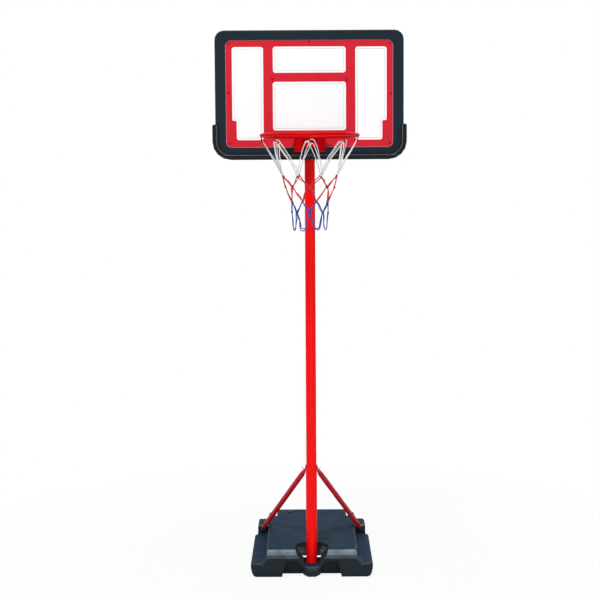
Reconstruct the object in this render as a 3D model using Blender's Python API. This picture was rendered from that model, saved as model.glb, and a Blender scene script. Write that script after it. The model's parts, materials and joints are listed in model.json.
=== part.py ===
"""A small portable basketball stand, in metres, with +Z up and the rim towards -Y.

The origin is on the floor, on the pole's axis. The upper pole slides in the lower one along Z.
"""

import math

import bmesh
import bpy
import numpy as np
from mathutils import Matrix, Vector

# Fits
GAP = 0.0003
SLIDING_FIT = 0.0004
BOLT_HOLE_FIT = 0.0003
OVERLAP = 0.002
THROUGH = 0.01
SMALL_EDGE = 0.001
MERGE = 1e-6

# Fasteners, as radius or thickness
M6 = 0.003
M8 = 0.004
M6_FLATS = 0.010
M8_FLATS = 0.013
M6_NUT = 0.005
M8_NUT = 0.0065
M6_HEAD = 0.004
M8_HEAD = 0.0053
WASHER_RADIUS = 0.007
WASHER_THICKNESS = 0.0012
THREAD_PAST_NUT = 0.003

# Pole
STUB_RADIUS = 0.02065
STUB_TOP = 0.405
STUB_BOTTOM = 0.015
MAST_RADIUS = 0.019
MAST_WALL = 0.0012
MAST_BOTTOM = 0.285
MAST_SEAM = 1.05
SPIGOT_LENGTH = 0.05
POLE_SIDES = 24
PLUG_FLANGE = 0.003
PLUG_DEPTH = 0.015
PLUG_WALL = 0.0025

# Foot rod, which crosses the pole foot and drops into two slots in the tank
ROD_RADIUS = 0.0045
ROD_Z = 0.056
ROD_REACH = 0.047

# Height lock behind the lower pole
LOCK_Z = 0.35
WELD_NUT_HEIGHT = 0.007
KNOB_RADIUS = 0.017
KNOB_LOBE = 0.0022
KNOB_LOBES = 5
KNOB_LENGTH = 0.017
KNOB_STANDOFF = 0.018
KNOB_SOCKET = 0.010
KNOB_EDGE = 0.004
SCREW_TIP = 0.0015

# Braces
BRACE_RADIUS = 0.010
BRACE_TOP_Z = 0.395
TAB_THICKNESS = 0.003
TAB_HALF_WIDTH = 0.009
FOOT_TAB_HALF_WIDTH = 0.0072
TAB_LENGTH = 0.015
CRIMP_LENGTH = 0.032
BRACE_SIDES = 12
BRACE_FOOT_INSET = 0.0215
BRACE_FOOT_Z = 0.0715
BRACE_BOLT_LENGTH = 0.022
# A tab's rounded end: (how far past its hole and how wide, both as shares of its half width)
TAB_END = [(0.6, 0.9), (1.0, 0.55)]

# Base tank
TANK_HALF_WIDTH = 0.2255
REAR_STEP = 0.010
SHOULDER_WIDTH = 0.0520
TAIL_STEP = 0.0795
TANK_FRONT = -0.073
FRONT_CORNER = 0.024
SHOULDER_Z = 0.055
SHOULDER_EDGE = 0.010
SHOULDER_END = 0.274
REAR_HALF_WIDTH = TANK_HALF_WIDTH - REAR_STEP
REAR_END = 0.383
REAR_CORNER = 0.018
TAIL_HALF_WIDTH = TANK_HALF_WIDTH - TAIL_STEP
TAIL_END = 0.4735
STEP_LENGTH = 0.008
STEP_CORNER = 0.006
UNDERCUT = 0.013
# How far the walls are drawn in towards the floor: (height, share of the undercut)
UNDERSIDE = [(0.0, 1.0), (0.004, 0.6), (0.012, 0.3), (0.030, 0.0)]
PLATEAU_Z = 0.100
PLATEAU_HALF_WIDTH = TANK_HALF_WIDTH - SHOULDER_WIDTH
PLATEAU_FRONT = -0.034
PLATEAU_FRONT_CORNER = 0.022
PLATEAU_EDGE = 0.013
PLATEAU_DRAFT = 0.003
BLOCK_FRONT = 0.289
BLOCK_Z = 0.087
BLOCK_EDGE = 0.009
BLOCK_CORNER = 0.004
BLOCK_REAR_CORNER = 0.016
BRACE_FOOT_X = REAR_HALF_WIDTH - BRACE_FOOT_INSET

# The brow, which is the plateau's rounded front
BROW_TOP_Y = -0.030
BROW_FOOT_Z = 0.058
BROW_SINK = 0.0002
BROW_ROOT_Z = SHOULDER_Z - SHOULDER_EDGE * 1.5
BROW_LOW_Z = SHOULDER_Z - BROW_SINK * 5
BROW_FULLNESS = 0.9
BROW_STEPS = 5
# Its ends draw in at the front, drop at the foot and lie back at the top
BROW_END_SHARE = 0.25
BROW_END_IN = SHOULDER_EDGE * 0.7
BROW_END_DROP = SHOULDER_EDGE * 0.65
BROW_END_BACK = 0.025
# Its stations: (distance from the tank's side, how far it stands up as a share of the plateau's height,
# how far back it reaches, and the same share at its back)
BROW_STATIONS = [
    (0.0665, 1.0, -0.0212, 1.0), (0.0605, 0.92, -0.012, 0.92), (0.0565, 0.65, -0.006, 0.5),
    (0.052, 0.36, 0.010, 0.0), (0.0465, 0.17, 0.010, 0.0), (0.0395, 0.06, 0.0, 0.0),
    (0.0315, 0.0, -0.010, 0.0),
]

# Pole notch, cup, boss and hand recesses in the tank
# The notch flares like a funnel: (height, half width)
NOTCH_FLARE = [
    (0.038, 0.0260), (0.057, 0.0310), (0.066, 0.0395), (0.076, 0.0490), (0.088, 0.0570),
    (PLATEAU_Z, 0.0605),
]
NOTCH_BACK_SHARE = 0.53
NOTCH_TOP_BACK = 0.034
NOTCH_FOOT_BACK = 0.0225
NOTCH_CORNER_SHARE = 0.3
CUP_FIT = 0.0012
BOSS_FRONT = -0.070
BOSS_HALF_WIDTH = 0.036
BOSS_TAPER = 0.024
BOSS_CORNER = 0.008
BOSS_BACK_CORNER = 0.004
# The boss bulges: (height, how far it is drawn in)
BOSS_LEVELS = [
    (0.0, 0.009), (0.004, 0.004), (0.014, 0.0), (0.025, 0.0), (0.033, 0.004), (0.0385, 0.011),
    (0.0415, 0.017),
]
HAND_OUTER = 0.110
HAND_CHAMFER = 0.013
# The recess's inner edge leans outwards above the boss: (height, distance from the middle)
HAND_INNER = [(0.0, 0.0), (0.0385, 0.0), (0.039, 0.033), (0.064, 0.048)]
HAND_TOP = 0.064
HAND_TOP_Y = -0.050
HAND_FOOT_Y = -0.024

# Wheels and axle
WHEEL_RADIUS = 0.047
WHEEL_SHOULDER = 0.014
WHEEL_INNER_SHOULDER = 0.004
WHEEL_WIDTH = 0.027
WHEEL_Y = 0.434
WHEEL_Z = 0.048
WHEEL_SIDES = 20
WHEEL_EDGE_STEPS = 3
HUB_RADIUS = 0.012
WEB_RECESS = 0.007
TYRE_DEPTH = 0.018
HUB_STANDOFF = 0.003
AXLE_RADIUS = 0.004
AXLE_CAP_RADIUS = 0.009
AXLE_CAP_LENGTH = 0.009
AXLE_CAP_SOCKET = 0.006
AXLE_CAP_RIM = 0.003
AXLE_CAP_BROW = 0.0065
AXLE_CAP_CROWN = 0.0006

# Filler cap
FILLER_X = -0.085
FILLER_Y = 0.428
NECK_RADIUS = 0.0095
NECK_DEPTH = 0.030
FILLER_WELL_RADIUS = 0.0170
FILLER_WELL_DEPTH = 0.008
CAP_RADIUS = 0.0150
CAP_HEIGHT = 0.009
CAP_PLUG_LENGTH = 0.012
CAP_EDGE = 0.002
CAP_RIBS = 16
CAP_RIB_DEPTH = 0.0008
SEAL_THICKNESS = 0.0015
SEAL_INSET = 0.003

# Backboard
BOARD_FRONT = -0.062
BOARD_DEPTH = 0.028
BOARD_HALF_WIDTH = 0.3365
BOARD_TOP = 1.990
MAST_BELOW_BOARD_TOP = 0.130
MAST_TOP = BOARD_TOP - MAST_BELOW_BOARD_TOP
BOARD_BOTTOM = 1.542
BOARD_TOP_CORNER = 0.033
BOARD_LOW_CORNER = 0.054
BOARD_EDGE = 0.004
PANEL_HALF_WIDTH = 0.2988
PANEL_TOP = 1.956
PANEL_BOTTOM = 1.575
PANEL_CORNER = 0.020
PANEL_THICKNESS = 0.003
PANEL_RECESS = 0.0025
PANEL_NOTCH_CORNER = 0.001
PAD_HALF_WIDTH = 0.0555
PAD_TOP = 1.6275
RIB_COLUMNS = 8
RIB_ROWS = 5
RIB = 0.003
BACK_BORDER = 0.010
POCKET_FLOOR = 0.005
POCKET_CORNER = 0.006
BUMPER_HALF_WIDTH = 0.3475
BUMPER_TOP = 1.658
BUMPER_BOTTOM = 1.532
BUMPER_CORNER = 0.065
BUMPER_TOP_CORNER = 0.006
BUMPER_LIP = 0.004
BUMPER_COVER = 0.014
BUMPER_COVER_CORNER = 0.004
BUMPER_EDGE = 0.0035

# Plates that carry the board, and their bolts
STRAP_THICKNESS = 0.0025
RIM_BOLT_Z = 1.590
STRAP_BELOW_TOP = 0.040
UPPER_STRAP_Z = MAST_TOP - STRAP_BELOW_TOP
UPPER_STRAP_HALF_WIDTH = 0.155
UPPER_STRAP_HALF_HEIGHT = 0.016
UPPER_BOLT_X = 0.133
LOWER_STRAP_Z = RIM_BOLT_Z
LOWER_STRAP_HALF_WIDTH = 0.058
LOWER_STRAP_HALF_HEIGHT = 0.028
STRAP_SEAT_HALF = 0.012
STRAP_RAMP = 0.009
STRAP_END = 0.006

# Rim
RIM_RADIUS = 0.165
RIM_TUBE = 0.0065
RIM_Z = 1.6125
RIM_STEPS = 48
RIM_SIDES = 8
HOOKS = 8
HOOK_ROD = 0.002
HOOK_BEND = 0.005
HOOK_DROP = 0.0125
HOOK_TIP = 0.003
HOOK_SIDES = 6
HOOK_STEPS = 5
RIM_PLATE = 0.0025
RIM_PLATE_HALF_WIDTH = 0.056
RIM_PLATE_BOTTOM = 1.5775
RIM_PLATE_TOP = 1.628
RIM_PLATE_LOW_CORNER = 0.008
RIM_PLATE_TOP_CORNER = 0.004
RIM_BOLT_X = 0.035
WING_FRONT_X = 0.029
WING_REACH = 0.046
WING_ROOT_X = 0.053
WING_BOTTOM = 1.559
WING_CORNER = 0.013
WING_TOP_CORNER = 0.003
WING_ROOT_CORNER = 0.002

# Net
CORD = 0.0015
CORD_SIDES = 5
KNOT = 0.0033
KNOT_DIP = 0.0016
CORD_BEND = 0.0032
HOOK_LOOP_BEND = 0.006
WHITE_KNOT_Z, WHITE_KNOT_RADIUS = 1.473, 0.098
CROSS_KNOT_Z, CROSS_KNOT_RADIUS = 1.435, 0.084
BLUE_KNOT_Z, BLUE_KNOT_RADIUS = 1.384, 0.066
LOW_KNOT_Z, LOW_KNOT_RADIUS = 1.349, 0.062
LOOP_Z, LOOP_RADIUS = 1.290, 0.0585
LOOP_BEND = 0.011
CROSSING_SHIFT = CORD * 0.8
TURN_SWEEP = 75

# Places that follow from the sizes above
BOARD_BACK = BOARD_FRONT + BOARD_DEPTH
PANEL_FACE = BOARD_FRONT + PANEL_RECESS
STRAP_FACE = BOARD_BACK + GAP
STRAP_BACK = STRAP_FACE + STRAP_THICKNESS
SEAT_BACK = -MAST_RADIUS - GAP
BOLTS = [(side * UPPER_BOLT_X, UPPER_STRAP_Z, M6) for side in (-1, 1)]
BOLTS += [(side * RIM_BOLT_X, RIM_BOLT_Z, M8) for side in (-1, 1)]
RIM_PLATE_BACK = BOARD_FRONT - GAP
RIM_PLATE_FACE = RIM_PLATE_BACK - RIM_PLATE
RIM_Y = RIM_PLATE_FACE - GAP - RIM_TUBE - RIM_RADIUS
HOOK_Z = RIM_Z - RIM_TUBE - HOOK_DROP
HOOK_STEP = 2 * math.pi / HOOKS
FIRST_HOOK = -math.pi / 2
HOOKED_CORD_Z = HOOK_Z - HOOK_BEND + HOOK_ROD + CORD + GAP
NET_ROWS = [
    (LOOP_Z, LOOP_RADIUS), (LOW_KNOT_Z, LOW_KNOT_RADIUS), (BLUE_KNOT_Z, BLUE_KNOT_RADIUS),
    (CROSS_KNOT_Z, CROSS_KNOT_RADIUS), (WHITE_KNOT_Z, WHITE_KNOT_RADIUS),
    (HOOKED_CORD_Z, RIM_RADIUS - HOOK_BEND),
]


def clear_scene():
    for obj in list(bpy.data.objects):
        bpy.data.objects.remove(obj, do_unlink=True)


def finish(name, colour, roughness, metallic=0.0):
    material = bpy.data.materials.new(name)
    material.use_nodes = True
    shader = material.node_tree.nodes["Principled BSDF"]
    shader.inputs["Base Color"].default_value = (*colour, 1.0)
    shader.inputs["Roughness"].default_value = roughness
    shader.inputs["Metallic"].default_value = metallic
    material.diffuse_color = (*colour, 1.0)
    return material


def add_object(name, bm, material, place=(0.0, 0.0, 0.0)):
    """Turns bm into a smooth-shaded object with its normals out."""
    bmesh.ops.recalc_face_normals(bm, faces=bm.faces)
    mesh = bpy.data.meshes.new(name)
    bm.to_mesh(mesh)
    bm.free()
    if material:
        mesh.materials.append(material)
    mesh.shade_smooth()
    mesh.set_sharp_from_angle(angle=math.radians(35))
    obj = bpy.data.objects.new(name, mesh)
    obj.location = place
    bpy.context.scene.collection.objects.link(obj)
    return obj


def add_cutter(name, bm, place=(0.0, 0.0, 0.0)):
    cutter = add_object(name, bm, None, place)
    cutter.hide_render = True
    cutter.display_type = "WIRE"
    return cutter


def boolean(obj, operation, *others):
    for other in others:
        modifier = obj.modifiers.new(other.name, "BOOLEAN")
        modifier.operation = operation
        modifier.solver = "EXACT"
        modifier.object = other


def cut(obj, *cutters):
    boolean(obj, "DIFFERENCE", *cutters)


def add_to(obj, *lumps):
    boolean(obj, "UNION", *lumps)


def carrier(name, place):
    """An empty on a joint's axis, for the pieces that move with that joint."""
    empty = bpy.data.objects.new(name, None)
    empty.location = place
    bpy.context.scene.collection.objects.link(empty)
    return empty


def carry(parent, *pieces):
    for piece in pieces:
        piece.parent = parent
        piece.matrix_parent_inverse = Matrix.Translation(parent.location).inverted()


def loft(rings, closed=False):
    """Joins rings of equally many points: closed joins the last to the first, else both ends are capped."""
    bm = bmesh.new()
    rows = [[bm.verts.new(point) for point in ring] for ring in rings]
    pairs = list(zip(rows, rows[1:]))
    if closed:
        pairs.append((rows[-1], rows[0]))
    else:
        bm.faces.new(rows[0])
        bm.faces.new(rows[-1])
    for low, high in pairs:
        for i in range(len(low)):
            bm.faces.new((low[i - 1], low[i], high[i], high[i - 1]))
    return bm


def left_of(direction):
    return Vector((-direction.y, direction.x))


def turned(vector, angle):
    return Matrix.Rotation(angle, 2) @ vector


def outline(corners, inset=0.0, steps=4):
    """Points round a polygon of (u, v, radius) corners, anticlockwise, with its edges moved in by inset."""
    points = []
    for i, (u, v, radius) in enumerate(corners):
        here = Vector((u, v))
        come = (here - Vector(corners[i - 1][:2])).normalized()
        go = (Vector(corners[(i + 1) % len(corners)][:2]) - here).normalized()
        angle = math.atan2(come.x * go.y - come.y * go.x, come.dot(go))
        side = math.copysign(1.0, angle)
        reach = (left_of(come) + left_of(go)) / (1.0 + come.dot(go))
        bend = max(radius - side * inset, GAP)
        centre = here + reach * (inset + side * bend)
        for k in range(steps + 1):
            points.append(centre - turned(left_of(come), angle * k / steps) * side * bend)
    return points


def mirrored(half):
    """A left-right symmetrical polygon from its right-hand corners, listed anticlockwise."""
    return half + [(-u, v, radius) for u, v, radius in reversed(half)]


def rectangle(half_width, low, high, low_corner, high_corner):
    return mirrored([(half_width, low, low_corner), (half_width, high, high_corner)])


def slab(corners, levels, upright=False, steps=4):
    """Lofts an outline through (height, inset) levels: up Z, or along Y for an upright outline."""
    rings = []
    for height, inset in levels:
        ring = outline(corners, inset, steps)
        rings.append([(p.x, height, p.y) if upright else (p.x, p.y, height) for p in ring])
    return loft(rings)


def rounded_edge(edge_height, radius, inset=0.0, steps=3, up=1.0):
    """(height, inset) levels of a quarter-round edge that ends level at edge_height."""
    levels = []
    for k in range(steps + 1):
        angle = math.pi / 2 * k / steps
        levels.append((
            edge_height - up * radius * (1 - math.sin(angle)),
            inset + radius * (1 - math.cos(angle)),
        ))
    return levels


def box(low, high):
    bm = bmesh.new()
    size = Vector(high) - Vector(low)
    middle = (Vector(high) + Vector(low)) / 2
    bmesh.ops.create_cube(bm, size=1.0, matrix=Matrix.Translation(middle) @ Matrix.Diagonal((*size, 1.0)))
    return bm


# Directions that a turned piece's height can point in
ALONG = {
    "X": Matrix.Rotation(math.radians(90), 4, "Y"),
    "-X": Matrix.Rotation(math.radians(-90), 4, "Y"),
    "Y": Matrix.Rotation(math.radians(-90), 4, "X"),
    "-Y": Matrix.Rotation(math.radians(90), 4, "X"),
    "Z": Matrix.Identity(4),
    "-Z": Matrix.Rotation(math.radians(180), 4, "X"),
}


def point_along(bm, direction):
    bmesh.ops.transform(bm, matrix=ALONG[direction], verts=bm.verts)
    return bm


def revolve(profile, sides, direction="Z"):
    """Spins a closed loop of (radius, height) points, or one that starts and ends on the axis."""
    bm = bmesh.new()
    verts = [bm.verts.new((radius, 0.0, height)) for radius, height in profile]
    edges = [bm.edges.new(pair) for pair in zip(verts, verts[1:])]
    if profile[0][0] > 0:
        edges.append(bm.edges.new((verts[-1], verts[0])))
    bmesh.ops.spin(
        bm, geom=verts + edges, cent=(0, 0, 0), axis=(0, 0, 1), angle=2 * math.pi, steps=sides
    )
    bmesh.ops.remove_doubles(bm, verts=bm.verts, dist=MERGE)
    return point_along(bm, direction)


def cylinder(radius, low, high, sides=16, direction="Z"):
    return revolve([(0.0, low), (radius, low), (radius, high), (0.0, high)], sides, direction)


def pipe(outer, inner, low, high, sides, direction="Z"):
    return revolve([(outer, low), (outer, high), (inner, high), (inner, low)], sides, direction)


def hexagon(flats, height, shrink=1.0):
    """A hexagon's corners and side middles, as 12 points."""
    points = []
    for k in range(12):
        radius = flats / 2 * shrink / (math.cos(math.radians(30)) if k % 2 == 0 else 1.0)
        angle = math.radians(30 * k)
        points.append((radius * math.cos(angle), radius * math.sin(angle), height))
    return points


def circle(radius, height, sides=12):
    turn = 2 * math.pi / sides
    return [(radius * math.cos(turn * k), radius * math.sin(turn * k), height) for k in range(sides)]


def chamfered_hexagon(flats, low, high, chamfer=0.92):
    """Rings of a nut's or a head's outside, with its far corners chamfered."""
    edge = (high - low) * 0.12
    return [hexagon(flats, low), hexagon(flats, high - edge), hexagon(flats, high, chamfer)]


def bolt(name, radius, flats, head, length, place, direction, material):
    """A hexagon-headed bolt: its shank points along direction from place, which is under the head."""
    tip = radius * 0.2
    rings = [circle(radius - tip, length), circle(radius, length - tip), circle(radius, 0.0)]
    for ring in chamfered_hexagon(flats, 0.0, head):
        rings.append([(x, y, -height) for x, y, height in ring])
    return add_object(name, point_along(loft(rings), direction), material, place)


def nut(name, bore, flats, height, place, direction, material):
    """A hexagon nut that stands on place and rises along direction."""
    hole = bore + BOLT_HOLE_FIT
    rings = chamfered_hexagon(flats, 0.0, height) + [circle(hole, height), circle(hole, 0.0)]
    return add_object(name, point_along(loft(rings, closed=True), direction), material, place)


def washer(name, bore, place, direction, material):
    bm = pipe(WASHER_RADIUS, bore + BOLT_HOLE_FIT, 0.0, WASHER_THICKNESS, 16, direction)
    return add_object(name, bm, material, place)


def cord(points, radius, sides, cyclic, swell=None):
    """A mesh tube along points, swept by a curve's bevel. Swell multiplies the radius at each point."""
    curve = bpy.data.curves.new("cord", "CURVE")
    curve.dimensions = "3D"
    curve.bevel_depth = radius
    curve.bevel_resolution = sides // 2 - 2
    curve.use_fill_caps = True
    spline = curve.splines.new("POLY")
    spline.points.add(len(points) - 1)
    for target, point, share in zip(spline.points, points, swell or [1.0] * len(points)):
        target.co = (*point, 1.0)
        target.radius = share
    spline.use_cyclic_u = cyclic
    path = bpy.data.objects.new("cord", curve)
    bpy.context.scene.collection.objects.link(path)
    bpy.context.view_layer.update()
    swept = path.evaluated_get(bpy.context.evaluated_depsgraph_get())
    bm = bmesh.new()
    bm.from_mesh(swept.to_mesh())
    swept.to_mesh_clear()
    bpy.data.objects.remove(path, do_unlink=True)
    bmesh.ops.remove_doubles(bm, verts=bm.verts, dist=MERGE)
    return bm


def together(*parts):
    """One bmesh that holds several separate ones."""
    whole = bmesh.new()
    for part in parts:
        mesh = bpy.data.meshes.new("part")
        part.to_mesh(mesh)
        part.free()
        whole.from_mesh(mesh)
        bpy.data.meshes.remove(mesh)
    return whole


def both_sides(name):
    """(node name, side sign) of a piece that the stand has left and right."""
    return [(f"{name}_left", -1), (f"{name}_right", 1)]


def tank_cutters():
    """What is cut out of the tank's rounded body, in the order in which it is cut."""
    reach = TANK_HALF_WIDTH * 2
    ahead = TANK_FRONT - THROUGH * 3
    recesses = []
    for name, side in both_sides("hand_recess"):
        rings = []
        for z, inner in HAND_INNER:
            share = z / HAND_TOP
            far = side * (HAND_OUTER - HAND_CHAMFER * share)
            back = HAND_FOOT_Y + (HAND_TOP_Y - HAND_FOOT_Y) * share
            near = side * inner
            rings.append([(near, ahead, z), (far, ahead, z), (far, back, z), (near, back, z)])
        rings.insert(0, [(x, y, -THROUGH) for x, y, z in rings[0]])
        recesses.append(add_cutter(name, loft(rings)))

    rings = []
    foot, top = NOTCH_FLARE[0][0], NOTCH_FLARE[-1][0]
    for z, half in NOTCH_FLARE:
        back = NOTCH_FOOT_BACK + (NOTCH_TOP_BACK - NOTCH_FOOT_BACK) * (z - foot) / (top - foot)
        corner, back_half = back * NOTCH_CORNER_SHARE, half * NOTCH_BACK_SHARE
        rings.append([
            (-half, ahead, z), (half, ahead, z), (half, corner, z),
            (back_half, back, z), (-back_half, back, z), (-half, corner, z),
        ])
    rings.append([(x, y, z + THROUGH) for x, y, z in rings[-1]])
    notch = add_cutter("notch", loft(rings))
    cup_floor = STUB_BOTTOM - PLUG_FLANGE - GAP
    cup = add_cutter("cup", cylinder(STUB_RADIUS + CUP_FIT, cup_floor, PLATEAU_Z + THROUGH, POLE_SIDES))
    slot_half = ROD_RADIUS + GAP
    rod_slot = add_cutter("rod_slot", box(
        (-ROD_REACH - GAP, -slot_half, ROD_Z - slot_half),
        (ROD_REACH + GAP, slot_half, PLATEAU_Z + THROUGH),
    ))
    axle_hole = add_cutter(
        "axle_hole",
        cylinder(AXLE_RADIUS + GAP, -reach, reach, direction="X"),
        (0.0, WHEEL_Y, WHEEL_Z),
    )
    filler = add_cutter(
        "filler_neck",
        revolve([
            (0.0, PLATEAU_Z - NECK_DEPTH),
            (NECK_RADIUS, PLATEAU_Z - NECK_DEPTH),
            (NECK_RADIUS, PLATEAU_Z - FILLER_WELL_DEPTH),
            (FILLER_WELL_RADIUS, PLATEAU_Z - FILLER_WELL_DEPTH),
            (FILLER_WELL_RADIUS, PLATEAU_Z + THROUGH),
            (0.0, PLATEAU_Z + THROUGH),
        ], 24),
        (FILLER_X, FILLER_Y, 0.0),
    )
    bolt_end = BRACE_BOLT_LENGTH + THROUGH
    holes = []
    for name, side in both_sides("brace_bolt_hole"):
        hole = cylinder(M6 + BOLT_HOLE_FIT, -THROUGH, bolt_end, 12, "Y")
        holes.append(add_cutter(name, hole, (side * BRACE_FOOT_X, BLOCK_FRONT, BRACE_FOOT_Z)))
    return recesses, [notch, cup, rod_slot, axle_hole, filler, *holes]


def brow():
    """The plateau's rounded front, flush with the tank's own, whose ends sweep down to the shoulders."""
    wall = TANK_FRONT + BROW_SINK
    half = [(TANK_HALF_WIDTH - inward, *shape) for inward, *shape in BROW_STATIONS]
    stations = [(-x, *shape) for x, *shape in reversed(half)] + half
    rings = []
    for x, share, back, back_share in stations:
        front = wall + BROW_END_IN * max(0.0, 1.0 - share / BROW_END_SHARE)
        foot = SHOULDER_Z - BROW_END_DROP * (1.0 - share) + (BROW_FOOT_Z - SHOULDER_Z) * share
        top = BROW_LOW_Z + (PLATEAU_Z - BROW_LOW_Z) * share
        top_y = BROW_TOP_Y - BROW_END_BACK * (1.0 - share)
        back_top = BROW_LOW_Z + (PLATEAU_Z - BROW_LOW_Z) * back_share
        ring = [(x, front, BROW_ROOT_Z)]
        for k in range(BROW_STEPS + 1):
            turn = math.pi / 2 * k / BROW_STEPS
            reach, rise = math.cos(turn) ** BROW_FULLNESS, math.sin(turn) ** BROW_FULLNESS
            ring.append((x, top_y + (front - top_y) * reach, foot + (top - foot) * rise))
        ring += [(x, back, back_top), (x, back, BROW_ROOT_Z)]
        rings.append(ring)
    return loft(rings)


def base_tank(material):
    """The blow-moulded tank: a low body, a plateau, two rear blocks and a boss round the pole's cup."""
    low = mirrored([
        (TANK_HALF_WIDTH, TANK_FRONT, FRONT_CORNER),
        (TANK_HALF_WIDTH, SHOULDER_END, STEP_CORNER),
        (REAR_HALF_WIDTH, SHOULDER_END + STEP_LENGTH, STEP_CORNER),
        (REAR_HALF_WIDTH, REAR_END, REAR_CORNER),
        (TAIL_HALF_WIDTH, REAR_END, STEP_CORNER),
        (TAIL_HALF_WIDTH, TAIL_END, REAR_CORNER),
    ])
    levels = [(height, UNDERCUT * share) for height, share in UNDERSIDE]
    levels += rounded_edge(SHOULDER_Z, SHOULDER_EDGE)
    tank = add_object("base_tank", slab(low, levels, steps=3), material)

    rear, tail = REAR_END - OVERLAP, TAIL_HALF_WIDTH - OVERLAP
    plateau = mirrored([
        (PLATEAU_HALF_WIDTH, PLATEAU_FRONT, PLATEAU_FRONT_CORNER),
        (PLATEAU_HALF_WIDTH, rear, REAR_CORNER),
        (tail, rear, STEP_CORNER),
        (tail, TAIL_END - OVERLAP, REAR_CORNER),
    ])
    levels = [(SHOULDER_Z / 2, 0.0), (SHOULDER_Z + SHOULDER_EDGE, 0.0)]
    levels += rounded_edge(PLATEAU_Z, PLATEAU_EDGE, PLATEAU_DRAFT, steps=4)
    lumps = [add_cutter("plateau", slab(plateau, levels, steps=3)), add_cutter("brow", brow())]

    for name, side in both_sides("block"):
        inside, outside = PLATEAU_HALF_WIDTH - THROUGH, REAR_HALF_WIDTH - OVERLAP
        across = (inside, outside) if side > 0 else (-outside, -inside)
        block = [
            (across[1], BLOCK_FRONT, BLOCK_CORNER),
            (across[1], rear, BLOCK_REAR_CORNER),
            (across[0], rear, BLOCK_CORNER),
            (across[0], BLOCK_FRONT, BLOCK_CORNER),
        ]
        block_levels = [(SHOULDER_Z / 2, 0.0)] + rounded_edge(BLOCK_Z, BLOCK_EDGE)
        lumps.append(add_cutter(name, slab(block, block_levels, steps=3)))

    recesses, later_cuts = tank_cutters()
    add_to(tank, *lumps)
    cut(tank, *recesses)
    boss = mirrored([
        (BOSS_HALF_WIDTH / 2, BOSS_FRONT, BOSS_CORNER),
        (BOSS_HALF_WIDTH, BOSS_FRONT + BOSS_TAPER, BOSS_CORNER),
        (BOSS_HALF_WIDTH, STUB_RADIUS, BOSS_BACK_CORNER),
    ])
    add_to(tank, add_cutter("boss", slab(boss, BOSS_LEVELS, steps=3)))
    cut(tank, *later_cuts)


def wheel(name, side, material):
    """A moulded wheel whose origin is on its axle, at the middle of its width."""
    half = WHEEL_WIDTH / 2
    bore = AXLE_RADIUS + GAP
    web = half - WEB_RECESS
    rim_inside = WHEEL_RADIUS - TYRE_DEPTH
    hub_in = TAIL_HALF_WIDTH + GAP
    middle = TAIL_HALF_WIDTH + HUB_STANDOFF + half
    profile = [
        (bore, half), (HUB_RADIUS, half), (HUB_RADIUS + SMALL_EDGE, web),
        (rim_inside - SMALL_EDGE, web), (rim_inside, half),
    ]
    for corner, outward in ((WHEEL_SHOULDER, 1), (WHEEL_INNER_SHOULDER, -1)):
        arc = []
        for k in range(WHEEL_EDGE_STEPS + 1):
            turn = math.pi / 2 * k / WHEEL_EDGE_STEPS
            round_it = WHEEL_RADIUS - corner * (1 - math.sin(turn))
            arc.append((round_it, outward * (half - corner * (1 - math.cos(turn)))))
        profile += arc[::outward]
    profile += [
        (rim_inside, -half), (rim_inside - SMALL_EDGE, -web), (HUB_RADIUS + SMALL_EDGE, -web),
        (HUB_RADIUS, hub_in - middle), (bore, hub_in - middle),
    ]
    bm = revolve(profile, WHEEL_SIDES, "X" if side > 0 else "-X")
    add_object(name, bm, material, (side * middle, WHEEL_Y, WHEEL_Z))


def wheels_and_axle(plastic, zinc):
    outer_face = TAIL_HALF_WIDTH + HUB_STANDOFF + WHEEL_WIDTH
    cap_start = outer_face + GAP
    end = cap_start + AXLE_CAP_SOCKET - GAP
    axle = cylinder(AXLE_RADIUS, -end, end, 16, "X")
    add_object("wheel_axle", axle, zinc, (0.0, WHEEL_Y, WHEEL_Z))
    for name, side in both_sides("axle_cap"):
        socket = AXLE_RADIUS + GAP
        bm = revolve([
            (0.0, AXLE_CAP_SOCKET), (socket, AXLE_CAP_SOCKET), (socket, 0.0), (AXLE_CAP_RADIUS, 0.0),
            (AXLE_CAP_RADIUS, AXLE_CAP_RIM), (AXLE_CAP_RADIUS * 0.85, AXLE_CAP_BROW),
            (AXLE_CAP_RADIUS * 0.5, AXLE_CAP_LENGTH - AXLE_CAP_CROWN), (0.0, AXLE_CAP_LENGTH),
        ], 16, "X" if side > 0 else "-X")
        add_object(name, bm, plastic, (side * cap_start, WHEEL_Y, WHEEL_Z))
    for name, side in both_sides("wheel"):
        wheel(name, side, plastic)


def filler_cap(plastic, rubber):
    """The ribbed cap, whose plug hangs in the filler neck with a seal under its flange."""
    floor = PLATEAU_Z - FILLER_WELL_DEPTH
    seal_low, seal_high = floor + GAP, floor + GAP + SEAL_THICKNESS
    flange = seal_high + GAP
    plug = NECK_RADIUS - GAP * 2
    rings = []
    tip, top = flange - CAP_PLUG_LENGTH, flange + CAP_HEIGHT
    for height, radius in ((tip, plug - SMALL_EDGE), (tip + SMALL_EDGE, plug), (flange, plug)):
        rings.append(circle(radius, height, CAP_RIBS * 2))
    for height, inset in ((flange, 0.0), (top - CAP_EDGE, 0.0), (top, CAP_EDGE)):
        ribbed = []
        for k in range(CAP_RIBS * 2):
            radius = CAP_RADIUS - inset - (CAP_RIB_DEPTH if k % 2 else 0.0)
            angle = math.pi * k / CAP_RIBS
            ribbed.append((radius * math.cos(angle), radius * math.sin(angle), height))
        rings.append(ribbed)
    cap = add_object("filler_cap", loft(rings), plastic, (FILLER_X, FILLER_Y, 0.0))
    seal = pipe(CAP_RADIUS - SEAL_INSET, NECK_RADIUS + GAP, seal_low, seal_high, 24)
    return [cap, add_object("cap_seal", seal, rubber, (FILLER_X, FILLER_Y, 0.0))]


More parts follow.
